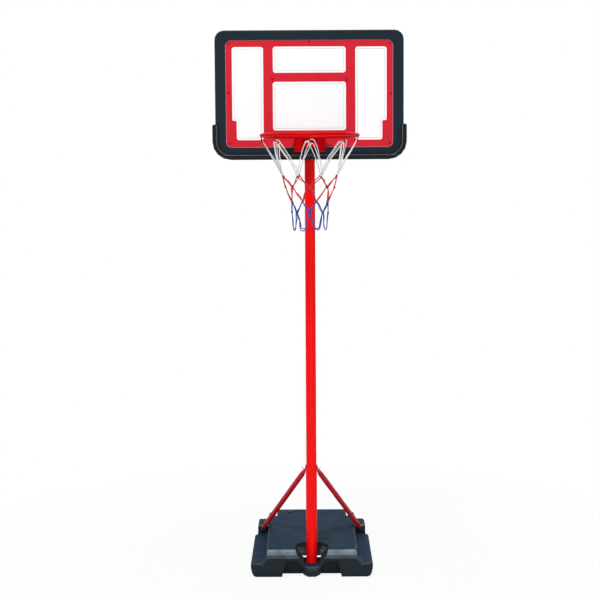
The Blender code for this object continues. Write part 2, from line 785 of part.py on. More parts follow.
def lower_pole(red):
    """The wide stub, with the studs for the braces and the lock screw's nut welded on."""
    bore = MAST_RADIUS + SLIDING_FIT
    stub = add_object("lower_pole", pipe(STUB_RADIUS, bore, STUB_BOTTOM, STUB_TOP, POLE_SIDES), red)
    stud_end = (
        STUB_RADIUS + TAB_THICKNESS + WASHER_THICKNESS + M6_NUT + GAP * 3 + THREAD_PAST_NUT
    )
    for name, side in both_sides("stud"):
        stud = cylinder(M6, bore + GAP * 2, stud_end, 12, "X" if side > 0 else "-X")
        add_to(stub, add_cutter(name, stud, (0.0, 0.0, BRACE_TOP_Z)))
    nut_rings = chamfered_hexagon(M8_FLATS, bore + GAP * 2, STUB_RADIUS + WELD_NUT_HEIGHT)
    add_to(stub, add_cutter("weld_nut", point_along(loft(nut_rings), "Y"), (0.0, 0.0, LOCK_Z)))
    lock_hole = cylinder(M8 + BOLT_HOLE_FIT, 0.0, STUB_RADIUS * 2, 12, "Y")
    rod_hole = cylinder(ROD_RADIUS + GAP, -STUB_RADIUS * 2, STUB_RADIUS * 2, 16, "X")
    cut(
        stub,
        add_cutter("lock_hole", lock_hole, (0.0, 0.0, LOCK_Z)),
        add_cutter("rod_hole", rod_hole, (0.0, 0.0, ROD_Z)),
    )


def end_plug(name, tube_radius, bore, face, direction, material):
    """A hollow plug in a tube's end at height face, with a flange as wide as the tube."""
    inside = bore - GAP
    bm = revolve([
        (0.0, -PLUG_FLANGE), (tube_radius - SMALL_EDGE, -PLUG_FLANGE),
        (tube_radius, SMALL_EDGE - PLUG_FLANGE), (tube_radius, -GAP), (inside, -GAP), (inside, PLUG_DEPTH),
        (inside - PLUG_WALL, PLUG_DEPTH), (inside - PLUG_WALL, GAP), (0.0, GAP),
    ], 16, direction)
    return add_object(name, bm, material, (0.0, 0.0, face))


def height_lock(plastic, zinc):
    """The screw that clamps the upper pole, and the lobed knob on it, both turning about Y."""
    screw_start = MAST_RADIUS + GAP
    knob_start = STUB_RADIUS + KNOB_STANDOFF
    screw_end = knob_start + KNOB_SOCKET - GAP
    screw = revolve([
        (0.0, screw_start), (M8 * 0.7, screw_start), (M8, screw_start + SCREW_TIP), (M8, screw_end),
        (0.0, screw_end),
    ], 16, "Y")
    rings = []
    sides = KNOB_LOBES * 6
    levels = [(0.0, KNOB_EDGE / 2), (KNOB_EDGE / 2, 0.0)] + rounded_edge(KNOB_LENGTH, KNOB_EDGE)
    for height, inset in levels:
        ring = []
        for k in range(sides):
            angle = 2 * math.pi * k / sides
            radius = KNOB_RADIUS - inset + KNOB_LOBE * math.cos(KNOB_LOBES * angle)
            ring.append((radius * math.cos(angle), radius * math.sin(angle), height))
        rings.append(ring)
    knob = add_object("lock_knob", point_along(loft(rings), "Y"), plastic, (0.0, knob_start, LOCK_Z))
    socket = cylinder(M8 + BOLT_HOLE_FIT, -THROUGH, KNOB_SOCKET, 16, "Y")
    socket = add_cutter("knob_socket", socket, (0.0, knob_start, LOCK_Z))
    cut(knob, socket)
    return [add_object("lock_screw", screw, zinc, (0.0, 0.0, LOCK_Z)), knob]


def crimped_tube(name, stations, material):
    """A tube lofted through (centre, direction, flat normal, half width, half thickness) stations."""
    rings = []
    for centre, direction, normal, wide, thick in stations:
        across = direction.cross(normal).normalized()
        normal = across.cross(direction).normalized()
        flatness = thick / wide
        ring = []
        for k in range(BRACE_SIDES):
            angle = 2 * math.pi * (k + 0.5) / BRACE_SIDES
            c, s = math.cos(angle), math.sin(angle)
            power = 0.3 + 0.7 * flatness
            u = math.copysign(abs(c) ** power, c) * wide
            v = math.copysign(abs(s) ** power, s) * thick
            ring.append(centre + across * u + normal * v)
        rings.append(ring)
    return add_object(name, loft(rings), material)


def braces(red, zinc, black):
    """The two tubes from the studs on the lower pole to the tank's rear blocks, flat at both ends."""
    tab = TAB_THICKNESS / 2
    for name, side in both_sides("brace"):
        top = Vector((side * (STUB_RADIUS + GAP + tab), 0.0, BRACE_TOP_Z))
        foot = Vector((side * BRACE_FOOT_X, BLOCK_FRONT - GAP - tab, BRACE_FOOT_Z))
        whole = foot - top
        down_side = Vector((0.0, whole.y, whole.z)).normalized()
        down_front = Vector((whole.x, 0.0, whole.z)).normalized()
        start = top + down_side * TAB_LENGTH
        end = foot - down_front * TAB_LENGTH
        run = (end - start).normalized()
        side_normal, front_normal = Vector((side, 0.0, 0.0)), Vector((0.0, 1.0, 0.0))
        length = (end - start).length
        stations = []
        for past, share in reversed(TAB_END):
            place = top - down_side * TAB_HALF_WIDTH * past
            stations.append((place, down_side, side_normal, TAB_HALF_WIDTH * share, tab))
        stations += [
            (top, down_side, side_normal, TAB_HALF_WIDTH, tab),
            (start, (down_side + run).normalized(), side_normal, TAB_HALF_WIDTH, tab),
        ]
        for k in range(5):
            share = (CRIMP_LENGTH + (length - 2 * CRIMP_LENGTH) * k / 4) / length
            normal = side_normal.lerp(front_normal, share)
            stations.append((start + run * share * length, run, normal, BRACE_RADIUS, BRACE_RADIUS))
        stations += [
            (end, (down_front + run).normalized(), front_normal, FOOT_TAB_HALF_WIDTH, tab),
            (foot, down_front, front_normal, FOOT_TAB_HALF_WIDTH, tab),
        ]
        for past, share in TAB_END:
            place = foot + down_front * FOOT_TAB_HALF_WIDTH * past
            stations.append((place, down_front, front_normal, FOOT_TAB_HALF_WIDTH * share, tab))
        brace = crimped_tube(name, stations, red)
        label = name.split("_")[1]
        stud_hole = cylinder(M6 + BOLT_HOLE_FIT, -THROUGH, THROUGH, 12, "X")
        foot_hole = cylinder(M6 + BOLT_HOLE_FIT, -THROUGH, THROUGH, 12, "Y")
        cut(
            brace,
            add_cutter(f"stud_hole_{label}", stud_hole, top),
            add_cutter(f"foot_hole_{label}", foot_hole, foot),
        )
        outward = "X" if side > 0 else "-X"
        washer_x = side * (STUB_RADIUS + TAB_THICKNESS + GAP * 2)
        washer(f"stud_washer_{label}", M6, (washer_x, 0.0, BRACE_TOP_Z), outward, zinc)
        nut_x = washer_x + side * (WASHER_THICKNESS + GAP)
        nut(f"stud_nut_{label}", M6, M6_FLATS, M6_NUT, (nut_x, 0.0, BRACE_TOP_Z), outward, zinc)
        washer_y = BLOCK_FRONT - TAB_THICKNESS - GAP * 2
        foot_place = (foot.x, washer_y, foot.z)
        washer(f"foot_washer_{label}", M6, foot_place, "-Y", black)
        head_y = washer_y - WASHER_THICKNESS - GAP
        length = BRACE_BOLT_LENGTH + BLOCK_FRONT - head_y
        bolt(f"foot_bolt_{label}", M6, M6_FLATS, M6_HEAD, length, (foot.x, head_y, foot.z), "Y", black)


def upper_pole(red, plastic):
    """The upper pole's two lengths: the top one has a swaged end that fits in the bottom one."""
    inside = MAST_RADIUS - MAST_WALL
    spigot = inside - GAP
    seam = MAST_SEAM + GAP
    low = add_object("mast_lower", pipe(MAST_RADIUS, inside, MAST_BOTTOM, MAST_SEAM, POLE_SIDES), red)
    high = add_object("mast_upper", revolve([
        (spigot - MAST_WALL, seam - SPIGOT_LENGTH), (spigot, seam - SPIGOT_LENGTH), (spigot, seam),
        (MAST_RADIUS, seam), (MAST_RADIUS, MAST_TOP), (inside, MAST_TOP),
        (inside, seam + MAST_WALL * 2), (spigot - MAST_WALL, seam),
    ], POLE_SIDES), red)
    for name, z in (("upper_pole_hole", UPPER_STRAP_Z), ("lower_pole_hole", LOWER_STRAP_Z)):
        hole = cylinder(M8 + BOLT_HOLE_FIT, -MAST_RADIUS * 2, MAST_RADIUS * 2, 12, "Y")
        cut(high, add_cutter(name, hole, (0.0, 0.0, z)))
    return [low, high, end_plug("mast_plug", MAST_RADIUS, inside, MAST_TOP, "-Z", plastic)]


def bolt_hole(name, x, z, radius, low, high):
    return add_cutter(name, cylinder(radius + BOLT_HOLE_FIT, low, high, 12, "Y"), (x, 0.0, z))


def panel_outline():
    """The face panel's outline, with a notch at its foot for the pad that the rim is bolted to."""
    return mirrored([
        (PAD_HALF_WIDTH + GAP, PAD_TOP + GAP, PANEL_NOTCH_CORNER),
        (PAD_HALF_WIDTH + GAP, PANEL_BOTTOM, PANEL_NOTCH_CORNER),
        (PANEL_HALF_WIDTH, PANEL_BOTTOM, PANEL_CORNER),
        (PANEL_HALF_WIDTH, PANEL_TOP, PANEL_CORNER),
    ])


def board_outline():
    return rectangle(BOARD_HALF_WIDTH, BOARD_BOTTOM, BOARD_TOP, BOARD_LOW_CORNER, BOARD_TOP_CORNER)


def back_pockets(floor):
    """Square pockets between the ribs on the back, left solid round each bolt."""
    width = 2 * (BOARD_HALF_WIDTH - BACK_BORDER) / RIB_COLUMNS
    height = (BOARD_TOP - BOARD_BOTTOM - 2 * BACK_BORDER) / RIB_ROWS
    pockets = []
    for column in range(RIB_COLUMNS):
        for row in range(RIB_ROWS):
            x = (column - (RIB_COLUMNS - 1) / 2) * width
            z = BOARD_BOTTOM + BACK_BORDER + (row + 0.5) * height
            wide, high = (width + M8_FLATS) / 2, (height + M8_FLATS) / 2
            if any(abs(x - bolt_x) < wide and abs(z - bolt_z) < high for bolt_x, bolt_z, _ in BOLTS):
                continue
            half, tall = (width - RIB) / 2, (height - RIB) / 2
            corners = [
                (x + half, z - tall, POCKET_CORNER), (x + half, z + tall, POCKET_CORNER),
                (x - half, z + tall, POCKET_CORNER), (x - half, z - tall, POCKET_CORNER),
            ]
            levels = [(floor, SMALL_EDGE), (BOARD_BACK + THROUGH, 0.0)]
            pockets.append(slab(corners, levels, upright=True, steps=1))
    cutter = add_cutter("back_pockets", together(*pockets))
    border = slab(board_outline(), [
        (floor - THROUGH, BACK_BORDER + RIB / 2), (BOARD_BACK + 2 * THROUGH, BACK_BORDER + RIB / 2),
    ], upright=True)
    boolean(cutter, "INTERSECT", add_cutter("back_border", border))
    return cutter


def backboard(frame_plastic, panel_red, bumper_plastic):
    """The moulded frame with its ribbed back, the face panel in it, and the bumper round its lower edge."""
    levels = [(BOARD_BACK, SMALL_EDGE), (BOARD_BACK - SMALL_EDGE, 0.0)]
    levels += rounded_edge(BOARD_FRONT, BOARD_EDGE, up=-1.0)
    frame = add_object("backboard_frame", slab(board_outline(), levels, upright=True), frame_plastic)
    floor = PANEL_FACE + PANEL_THICKNESS + GAP
    recess = slab(panel_outline(), [(BOARD_FRONT - THROUGH, -GAP), (floor, -GAP)], upright=True)
    cut(frame, add_cutter("panel_recess", recess), back_pockets(floor + POCKET_FLOOR))

    levels = [(PANEL_FACE + PANEL_THICKNESS, 0.0), (PANEL_FACE, 0.0)]
    panel = add_object("face_panel", slab(panel_outline(), levels, upright=True), panel_red)
    for i, (x, z, radius) in enumerate(BOLTS):
        hole = bolt_hole(f"board_hole_{i}", x, z, radius, BOARD_FRONT - THROUGH, BOARD_BACK + THROUGH)
        cut(frame, hole)
        if abs(x) > PAD_HALF_WIDTH:
            cut(panel, hole)

    front, back = BOARD_FRONT - BUMPER_LIP, BOARD_BACK + BUMPER_LIP
    shape = rectangle(BUMPER_HALF_WIDTH, BUMPER_BOTTOM, BUMPER_TOP, BUMPER_CORNER, BUMPER_TOP_CORNER)
    levels = rounded_edge(back, BUMPER_EDGE)[::-1] + rounded_edge(front, BUMPER_EDGE, up=-1.0)
    bumper = add_object("edge_bumper", slab(shape, levels, upright=True), bumper_plastic)
    seat = slab(board_outline(), [(BOARD_FRONT - GAP, -GAP), (BOARD_BACK + GAP, -GAP)], upright=True)
    cover = rectangle(
        BOARD_HALF_WIDTH - BUMPER_COVER, BOARD_BOTTOM + BUMPER_COVER, BUMPER_TOP + THROUGH,
        BOARD_LOW_CORNER - BUMPER_COVER, BUMPER_COVER_CORNER,
    )
    window = slab(cover, [(front - THROUGH, 0.0), (back + THROUGH, 0.0)], upright=True)
    cut(bumper, add_cutter("bumper_seat", seat), add_cutter("bumper_window", window))
    return [frame, panel, bumper]


def strap(name, z, half_width, half_height, holes, material):
    """A steel strap on the board's back, with its middle set back to the pole."""
    rings = []
    seat = SEAT_BACK - STRAP_THICKNESS
    for x, face, height in (
        (half_width, STRAP_FACE, half_height - STRAP_END / 2),
        (half_width - STRAP_END, STRAP_FACE, half_height),
        (STRAP_SEAT_HALF + STRAP_RAMP, STRAP_FACE, half_height), (STRAP_SEAT_HALF, seat, half_height),
    ):
        rings.append([
            (x, face, z - height), (x, face, z + height),
            (x, face + STRAP_THICKNESS, z + height), (x, face + STRAP_THICKNESS, z - height),
        ])
    rings += [[(-x, y, height) for x, y, height in ring] for ring in reversed(rings)]
    plate = add_object(name, loft(rings), material)
    for i, (x, hole_z, radius) in enumerate(holes):
        cut(plate, bolt_hole(f"{name}_hole_{i}", x, hole_z, radius, BOARD_BACK - THROUGH, THROUGH))
    return plate


def board_mounting(black, zinc, red):
    """Both straps, and the bolts that hold them to the pole, the board and the rim."""
    upper_holes = BOLTS[:2] + [(0.0, UPPER_STRAP_Z, M8)]
    lower_holes = BOLTS[2:] + [(0.0, LOWER_STRAP_Z, M8)]
    upper_half, lower_half = UPPER_STRAP_HALF_HEIGHT, LOWER_STRAP_HALF_HEIGHT
    pieces = [
        strap("strap_upper", UPPER_STRAP_Z, UPPER_STRAP_HALF_WIDTH, upper_half, upper_holes, black),
        strap("strap_lower", LOWER_STRAP_Z, LOWER_STRAP_HALF_WIDTH, lower_half, lower_holes, black),
    ]
    head_seat = SEAT_BACK - STRAP_THICKNESS - GAP
    nut_seat = MAST_RADIUS + GAP
    rim_seat = BOARD_FRONT - RIM_PLATE - GAP * 2
    face_seat = PANEL_FACE - GAP
    back_seat = STRAP_BACK + GAP
    sets = [
        ("pole_{}_upper", 0.0, UPPER_STRAP_Z, M8, head_seat, nut_seat, zinc),
        ("pole_{}_lower", 0.0, LOWER_STRAP_Z, M8, head_seat, nut_seat, zinc),
        ("face_{}_left", -UPPER_BOLT_X, UPPER_STRAP_Z, M6, face_seat, back_seat, red),
        ("face_{}_right", UPPER_BOLT_X, UPPER_STRAP_Z, M6, face_seat, back_seat, red),
        ("rim_{}_left", -RIM_BOLT_X, RIM_BOLT_Z, M8, rim_seat, back_seat, zinc),
        ("rim_{}_right", RIM_BOLT_X, RIM_BOLT_Z, M8, rim_seat, back_seat, zinc),
    ]
    for label, x, z, radius, head_y, nut_y, finish_of_bolt in sets:
        flats, head, height = (M6_FLATS, M6_HEAD, M6_NUT) if radius == M6 else (M8_FLATS, M8_HEAD, M8_NUT)
        length = nut_y + height + THREAD_PAST_NUT - head_y
        name = label.format("bolt")
        pieces.append(bolt(name, radius, flats, head, length, (x, head_y, z), "Y", finish_of_bolt))
        pieces.append(nut(label.format("nut"), radius, flats, height, (x, nut_y, z), "Y", zinc))
    return pieces


def round_rim(angle, radius, along, z):
    """A point at an angle round the rim's axis, moved along the circle's tangent there."""
    c, s = math.cos(angle), math.sin(angle)
    return (radius * c - along * s, RIM_Y + radius * s + along * c, z)


def rim(red):
    """The rim's ring with its net hooks, and the plate and two wings that hold it."""
    profile = []
    for k in range(RIM_SIDES):
        angle = 2 * math.pi * k / RIM_SIDES
        profile.append((RIM_RADIUS + RIM_TUBE * math.cos(angle), RIM_TUBE * math.sin(angle)))
    ring = add_object("rim_ring", revolve(profile, RIM_STEPS), red, (0.0, RIM_Y, RIM_Z))
    hooks = []
    for k in range(HOOKS):
        angle = FIRST_HOOK + k * HOOK_STEP
        points = [(RIM_RADIUS, RIM_Z - RIM_TUBE / 3), (RIM_RADIUS, HOOK_Z)]
        for i in range(1, HOOK_STEPS + 1):
            bend = math.pi * i / HOOK_STEPS
            inward, drop = HOOK_BEND * (1 - math.cos(bend)), HOOK_BEND * math.sin(bend)
            points.append((RIM_RADIUS - inward, HOOK_Z - drop))
        points.append((RIM_RADIUS - 2 * HOOK_BEND, HOOK_Z + HOOK_TIP))
        path = [round_rim(angle, radius, 0.0, z) for radius, z in points]
        hooks.append(cord(path, HOOK_ROD, HOOK_SIDES, False))
    add_to(ring, add_cutter("net_hooks", together(*hooks)))

    shape = rectangle(
        RIM_PLATE_HALF_WIDTH, RIM_PLATE_BOTTOM, RIM_PLATE_TOP, RIM_PLATE_LOW_CORNER, RIM_PLATE_TOP_CORNER
    )
    plate = slab(shape, [(RIM_PLATE_BACK, 0.0), (RIM_PLATE_FACE, 0.0)], upright=True)
    bracket = add_object("rim_bracket", plate, red)
    for name, side in both_sides("wing"):
        root = Vector((side * WING_ROOT_X, RIM_PLATE_FACE, 0.0))
        front = Vector((side * WING_FRONT_X, RIM_PLATE_FACE - WING_REACH, 0.0))
        along = (front - root).normalized()
        normal = Vector((along.y, -along.x, 0.0)) * RIM_PLATE / 2
        far = (front - root).length
        top = RIM_Z - RIM_TUBE - GAP
        near = -RIM_PLATE * 0.6
        shape = outline([
            (near, WING_BOTTOM, WING_ROOT_CORNER), (far, WING_BOTTOM, WING_CORNER),
            (far, top, WING_TOP_CORNER), (near, top, WING_ROOT_CORNER),
        ])
        rings = []
        for face in (-normal, normal):
            rings.append([root + along * p.x + Vector((0, 0, p.y)) + face for p in shape])
        add_to(bracket, add_cutter(name, loft(rings)))
    low, high = RIM_PLATE_FACE - THROUGH, RIM_PLATE_BACK + THROUGH
    for i, (x, z, radius) in enumerate(BOLTS[2:]):
        cut(bracket, bolt_hole(f"rim_hole_{i}", x, z, radius, low, high))
    return [ring, bracket]


def on_net(angle, along, z):
    radius = float(np.interp(z, [row[0] for row in NET_ROWS], [row[1] for row in NET_ROWS]))
    return round_rim(angle, radius, along, z)


def turn_of_cord(angle, z, bend, up, steps):
    """(point, swell) pairs where a strand turns back, at a mesh's top for up 1 and at its foot for up -1.
    A turn of one step each way is inside a knot, which swells it."""
    points = []
    for k in range(-steps, steps + 1):
        lean = math.radians(TURN_SWEEP) * k / steps
        place = on_net(angle, bend * math.sin(lean), z - up * bend * (1 - math.cos(lean)))
        knot = KNOT / CORD if steps == 1 else 1.0
        points.append((place, 1.0 + (knot - 1.0) * (1.0 - abs(k) / 2)))
    return points


def zigzag(top, low, top_phase):
    """One cord all round the net, up to top and down to low once a mesh, each as (z, bend, steps)."""
    points = []
    for k in range(HOOKS):
        angle = FIRST_HOOK + (k + top_phase) * HOOK_STEP
        points += turn_of_cord(angle, *top[:2], 1, top[2])
        points += turn_of_cord(angle + HOOK_STEP / 2, *low[:2], -1, low[2])
    places, swell = zip(*points)
    return cord(places, CORD, CORD_SIDES, True, swell)


def net(white, red, blue):
    """The net's three bands: white loops on the hooks, and each band from the knots of the one above."""
    seat = KNOT + CORD + GAP - KNOT_DIP
    shift = CROSSING_SHIFT
    hooked, hung = (HOOKED_CORD_Z, HOOK_LOOP_BEND, 2), (WHITE_KNOT_Z + seat, CORD_BEND, 2)
    pieces = [add_object("net_white", zigzag(hooked, hung, 0.0), white)]

    upper = zigzag((WHITE_KNOT_Z, CORD_BEND, 1), (CROSS_KNOT_Z - shift, CORD_BEND, 1), 0.5)
    lower = zigzag((CROSS_KNOT_Z + shift, CORD_BEND, 1), (BLUE_KNOT_Z + seat, CORD_BEND, 2), 0.0)
    middle = add_object("net_red", upper, red)
    add_to(middle, add_cutter("red_lower", lower))

    upper = zigzag((BLUE_KNOT_Z, CORD_BEND, 1), (LOW_KNOT_Z - shift, CORD_BEND, 1), 0.5)
    loops = zigzag((LOW_KNOT_Z + shift, CORD_BEND, 1), (LOOP_Z, LOOP_BEND, 3), 0.0)
    low = add_object("net_blue", upper, blue)
    add_to(low, add_cutter("blue_loops", loops))
    return pieces + [middle, low]


def main():
    clear_scene()
    pole_red = finish("pole_red", (0.85, 0.006, 0.008), 0.35)
    brace_red = finish("brace_red", (0.45, 0.012, 0.016), 0.4)
    rim_red = finish("rim_red", (0.75, 0.006, 0.010), 0.35)
    tank_grey = finish("tank_grey", (0.030, 0.050, 0.072), 0.5)
    black = finish("black_plastic", (0.012, 0.012, 0.013), 0.55)
    board_grey = finish("board_grey", (0.020, 0.032, 0.042), 0.45)
    bumper_grey = finish("bumper_grey", (0.014, 0.018, 0.022), 0.5)
    panel_red = finish("panel_red", (0.72, 0.022, 0.040), 0.3)
    black_steel = finish("black_steel", (0.015, 0.015, 0.016), 0.4, 0.6)
    zinc = finish("zinc", (0.70, 0.71, 0.72), 0.3, 1.0)
    rubber = finish("rubber", (0.02, 0.02, 0.02), 0.8)
    cord_white = finish("cord_white", (0.85, 0.85, 0.88), 0.7)
    cord_red = finish("cord_red", (0.60, 0.010, 0.020), 0.7)
    cord_blue = finish("cord_blue", (0.020, 0.060, 0.32), 0.7)

    base_tank(tank_grey)
    wheels_and_axle(black, zinc)
    foot_bore = MAST_RADIUS + SLIDING_FIT
    end_plug("pole_foot_plug", STUB_RADIUS, foot_bore, STUB_BOTTOM, "Z", black)
    add_object("foot_rod", cylinder(ROD_RADIUS, -ROD_REACH, ROD_REACH, 16, "X"), zinc, (0.0, 0.0, ROD_Z))
    lower_pole(pole_red)
    braces(brace_red, zinc, black_steel)
    carry(carrier("filler_axis", (FILLER_X, FILLER_Y, PLATEAU_Z)), *filler_cap(black, rubber))
    carry(carrier("lock_axis", (0.0, STUB_RADIUS, LOCK_Z)), *height_lock(black, zinc))
    carry(
        carrier("mast_axis", (0.0, 0.0, STUB_TOP)),
        *upper_pole(pole_red, black),
        *backboard(board_grey, panel_red, bumper_grey),
        *board_mounting(black_steel, zinc, brace_red),
        *rim(rim_red),
        *net(cord_white, cord_red, cord_blue),
    )


main()
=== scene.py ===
"""The looks of a portable basketball stand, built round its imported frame."""

import json
import math

import bmesh
import bpy
import numpy as np
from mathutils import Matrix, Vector, noise

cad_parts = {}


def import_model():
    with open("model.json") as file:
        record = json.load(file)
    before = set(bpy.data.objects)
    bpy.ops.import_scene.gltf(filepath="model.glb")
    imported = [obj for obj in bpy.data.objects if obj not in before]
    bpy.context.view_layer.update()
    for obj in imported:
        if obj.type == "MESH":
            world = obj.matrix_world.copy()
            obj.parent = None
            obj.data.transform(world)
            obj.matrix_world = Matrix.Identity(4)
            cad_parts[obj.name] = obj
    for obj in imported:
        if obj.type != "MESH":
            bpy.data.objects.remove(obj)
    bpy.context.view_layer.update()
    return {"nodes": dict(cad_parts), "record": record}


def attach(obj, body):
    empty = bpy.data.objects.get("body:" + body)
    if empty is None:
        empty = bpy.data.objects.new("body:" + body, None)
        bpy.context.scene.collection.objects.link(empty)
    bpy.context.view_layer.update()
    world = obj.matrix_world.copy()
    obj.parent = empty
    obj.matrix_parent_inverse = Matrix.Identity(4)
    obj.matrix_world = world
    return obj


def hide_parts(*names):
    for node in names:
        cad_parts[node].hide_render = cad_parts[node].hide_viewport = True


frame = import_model()

# Board
PANEL_FACE = -0.0595
PANEL_HALF_WIDTH = 0.2988
PANEL_BOTTOM = 1.575
PANEL_TOP = 1.956
PANEL_CORNER = 0.020
PRINT = 0.0002
PRINT_SINK = 0.00002
LINE_PRINT = PRINT * 1.4
MARGIN = 0.0068
LINE = 0.0012
EDGE_LINE_INSETS = (0.0003, 0.0022)
LEAST_RADIUS = 0.0005

WINDOW_CORNER = 0.0095
STEP_CORNER = 0.005
SIDE_WINDOW_X = (0.164, 0.2600, 0.2754)
SIDE_WINDOW_Z = (1.602, 1.671, 1.931)
TOP_WINDOW_X = 0.1295
TOP_WINDOW_Z = (1.840, 1.932)
MAIN_WINDOW_X = 0.1303
MAIN_WINDOW_Z = (1.636, 1.808)

SCREW_RADIUS = 0.0034
SCREW_SIDES = 20
SCREW_HEAD = [(1.0, 0.0), (1.0, 0.0008), (0.85, 0.0017), (0.5, 0.0022)]
SCREW_CUT_SHARE = 0.42
SCREW_CUT_OUT = 0.0009
SCREW_CUT_BOTTOM = 0.0006
SCREW_CUT_WIDTH = 0.55
SCREW_TURN = 0.7
SCREWS = [
    (-0.2878, 1.944), (0.0, 1.9485), (0.2878, 1.944), (-0.2895, 1.770), (0.2895, 1.767), (-0.2865, 1.590),
    (0.2865, 1.590),
]

BUMPER_HALF_WIDTH = 0.3475
BUMPER_TOP = 1.658
BUMPER_BOTTOM = 1.532
BUMPER_CORNER = 0.065
BUMPER_TOP_CORNER = 0.02
BUMPER_FACE = -0.066
# The bumper's painted highlight: a thin pale tube along its face
HIGHLIGHT_LINE = 0.0011
HIGHLIGHT_LINE_INSET = 0.0155
HIGHLIGHT_LINE_END = 0.003
HIGHLIGHT_LINE_STEPS = 12
HIGHLIGHT_LINE_SIDES = 8

# Net
RIM_Y = -0.2366
HOOKS = 8
HOOK_STEP = 2 * math.pi / HOOKS
FIRST_HOOK = 0.0
CORD = 0.0018
WHITE_CORD = 0.0015
KNOT = 0.0039
KNOT_TURNS = 2.5
KNOT_STEPS = 26
KNOT_SIDES = 8
KNOT_CORD = CORD * 0.92
KNOT_LENGTH = KNOT * 1.9
CORD_SIDES = 10
PATH_STEPS = 3
SEAT = KNOT + CORD - 0.0013
CROSSING = CORD * 0.8
CORD_BEND = 0.0032
LOOP_BEND = 0.012
UNEVEN = 0.007
UNEVEN_ROUND = 2.6
UNEVEN_DOWN = 34.0
HANGING = 0.09
SLACK = 0.0013
SLACK_SPAN = 0.05
STRAND_STEPS = 4
LEG_STEPS = 5
TURN_STEPS = 2
TURN_LEAN = math.radians(78)
LOOP_Z, LOW_KNOT_Z, BLUE_KNOT_Z = 1.290, 1.349, 1.384
CROSS_KNOT_Z, WHITE_KNOT_Z, HOOKED_Z = 1.435, 1.473, 1.5923
NET_ROWS = [
    (LOOP_Z, 0.0585), (LOW_KNOT_Z, 0.062), (BLUE_KNOT_Z, 0.066), (CROSS_KNOT_Z, 0.084), (WHITE_KNOT_Z, 0.098),
    (HOOKED_Z, 0.160),
]

# Two white loops share each hook: (side of its knot, height, bend, how far aside)
LOOPS_ON_HOOK = [(-1, HOOKED_Z - 0.003, 0.0075, -0.0078), (1, HOOKED_Z + 0.0022, 0.012, 0.0070)]

# Camera, floor and lights
CAMERA_PLACE = (0.0, -4.2, 1.4865)
CAMERA_PITCH = -4.575
CAMERA_ROLL = 0.31
LENS = 69.1
SENSOR = 36.0
SHIFT_X = -0.0163
SHIFT_Y = -0.0593
FLOOR_HALF = 30.0
SHADOW_REACH = (0.5, 1.8)
FLOOR_GLOW = (0.90, 1.0)
WORLD_STRENGTH = 0.28

# Each lamp: name, place, target, size, watts, colour
LAMPS = [
    ("key", (-1.1, -2.6, 5.6), (0.0, 0.0, 1.2), 0.9, 206.0, (1.0, 1.0, 1.0)),
    ("side", (4.2, -3.4, 1.7), (0.0, 0.0, 1.0), 2.0, 21.0, (1.0, 1.0, 1.0)),
    ("over", (0.2, 1.0, 4.2), (0.0, 0.0, 0.1), 1.5, 27.0, (0.6, 0.85, 1.0)),
    ("back", (2.6, 4.2, 2.6), (0.0, 0.0, 1.0), 2.5, 47.0, (1.0, 1.0, 1.0)),
    ("low", (0.3, -2.2, 0.5), (0.0, 0.0, 0.05), 1.2, 8.0, (1.0, 0.95, 0.90)),
]

# Heights between which the tank's front edges get their painted highlight in full, and the share of it below
# them
EDGE_HIGHLIGHT_Z = (0.060, 0.075)
EDGE_HIGHLIGHT_LEAST = 0.25


def srgb(*levels):
    """Linear RGBA of a colour written as 0 to 255 screen levels."""
    linear = [(v / 255 / 12.92) if v < 10.3 else ((v / 255 + 0.055) / 1.055) ** 2.4 for v in levels]
    return (*linear, 1.0)


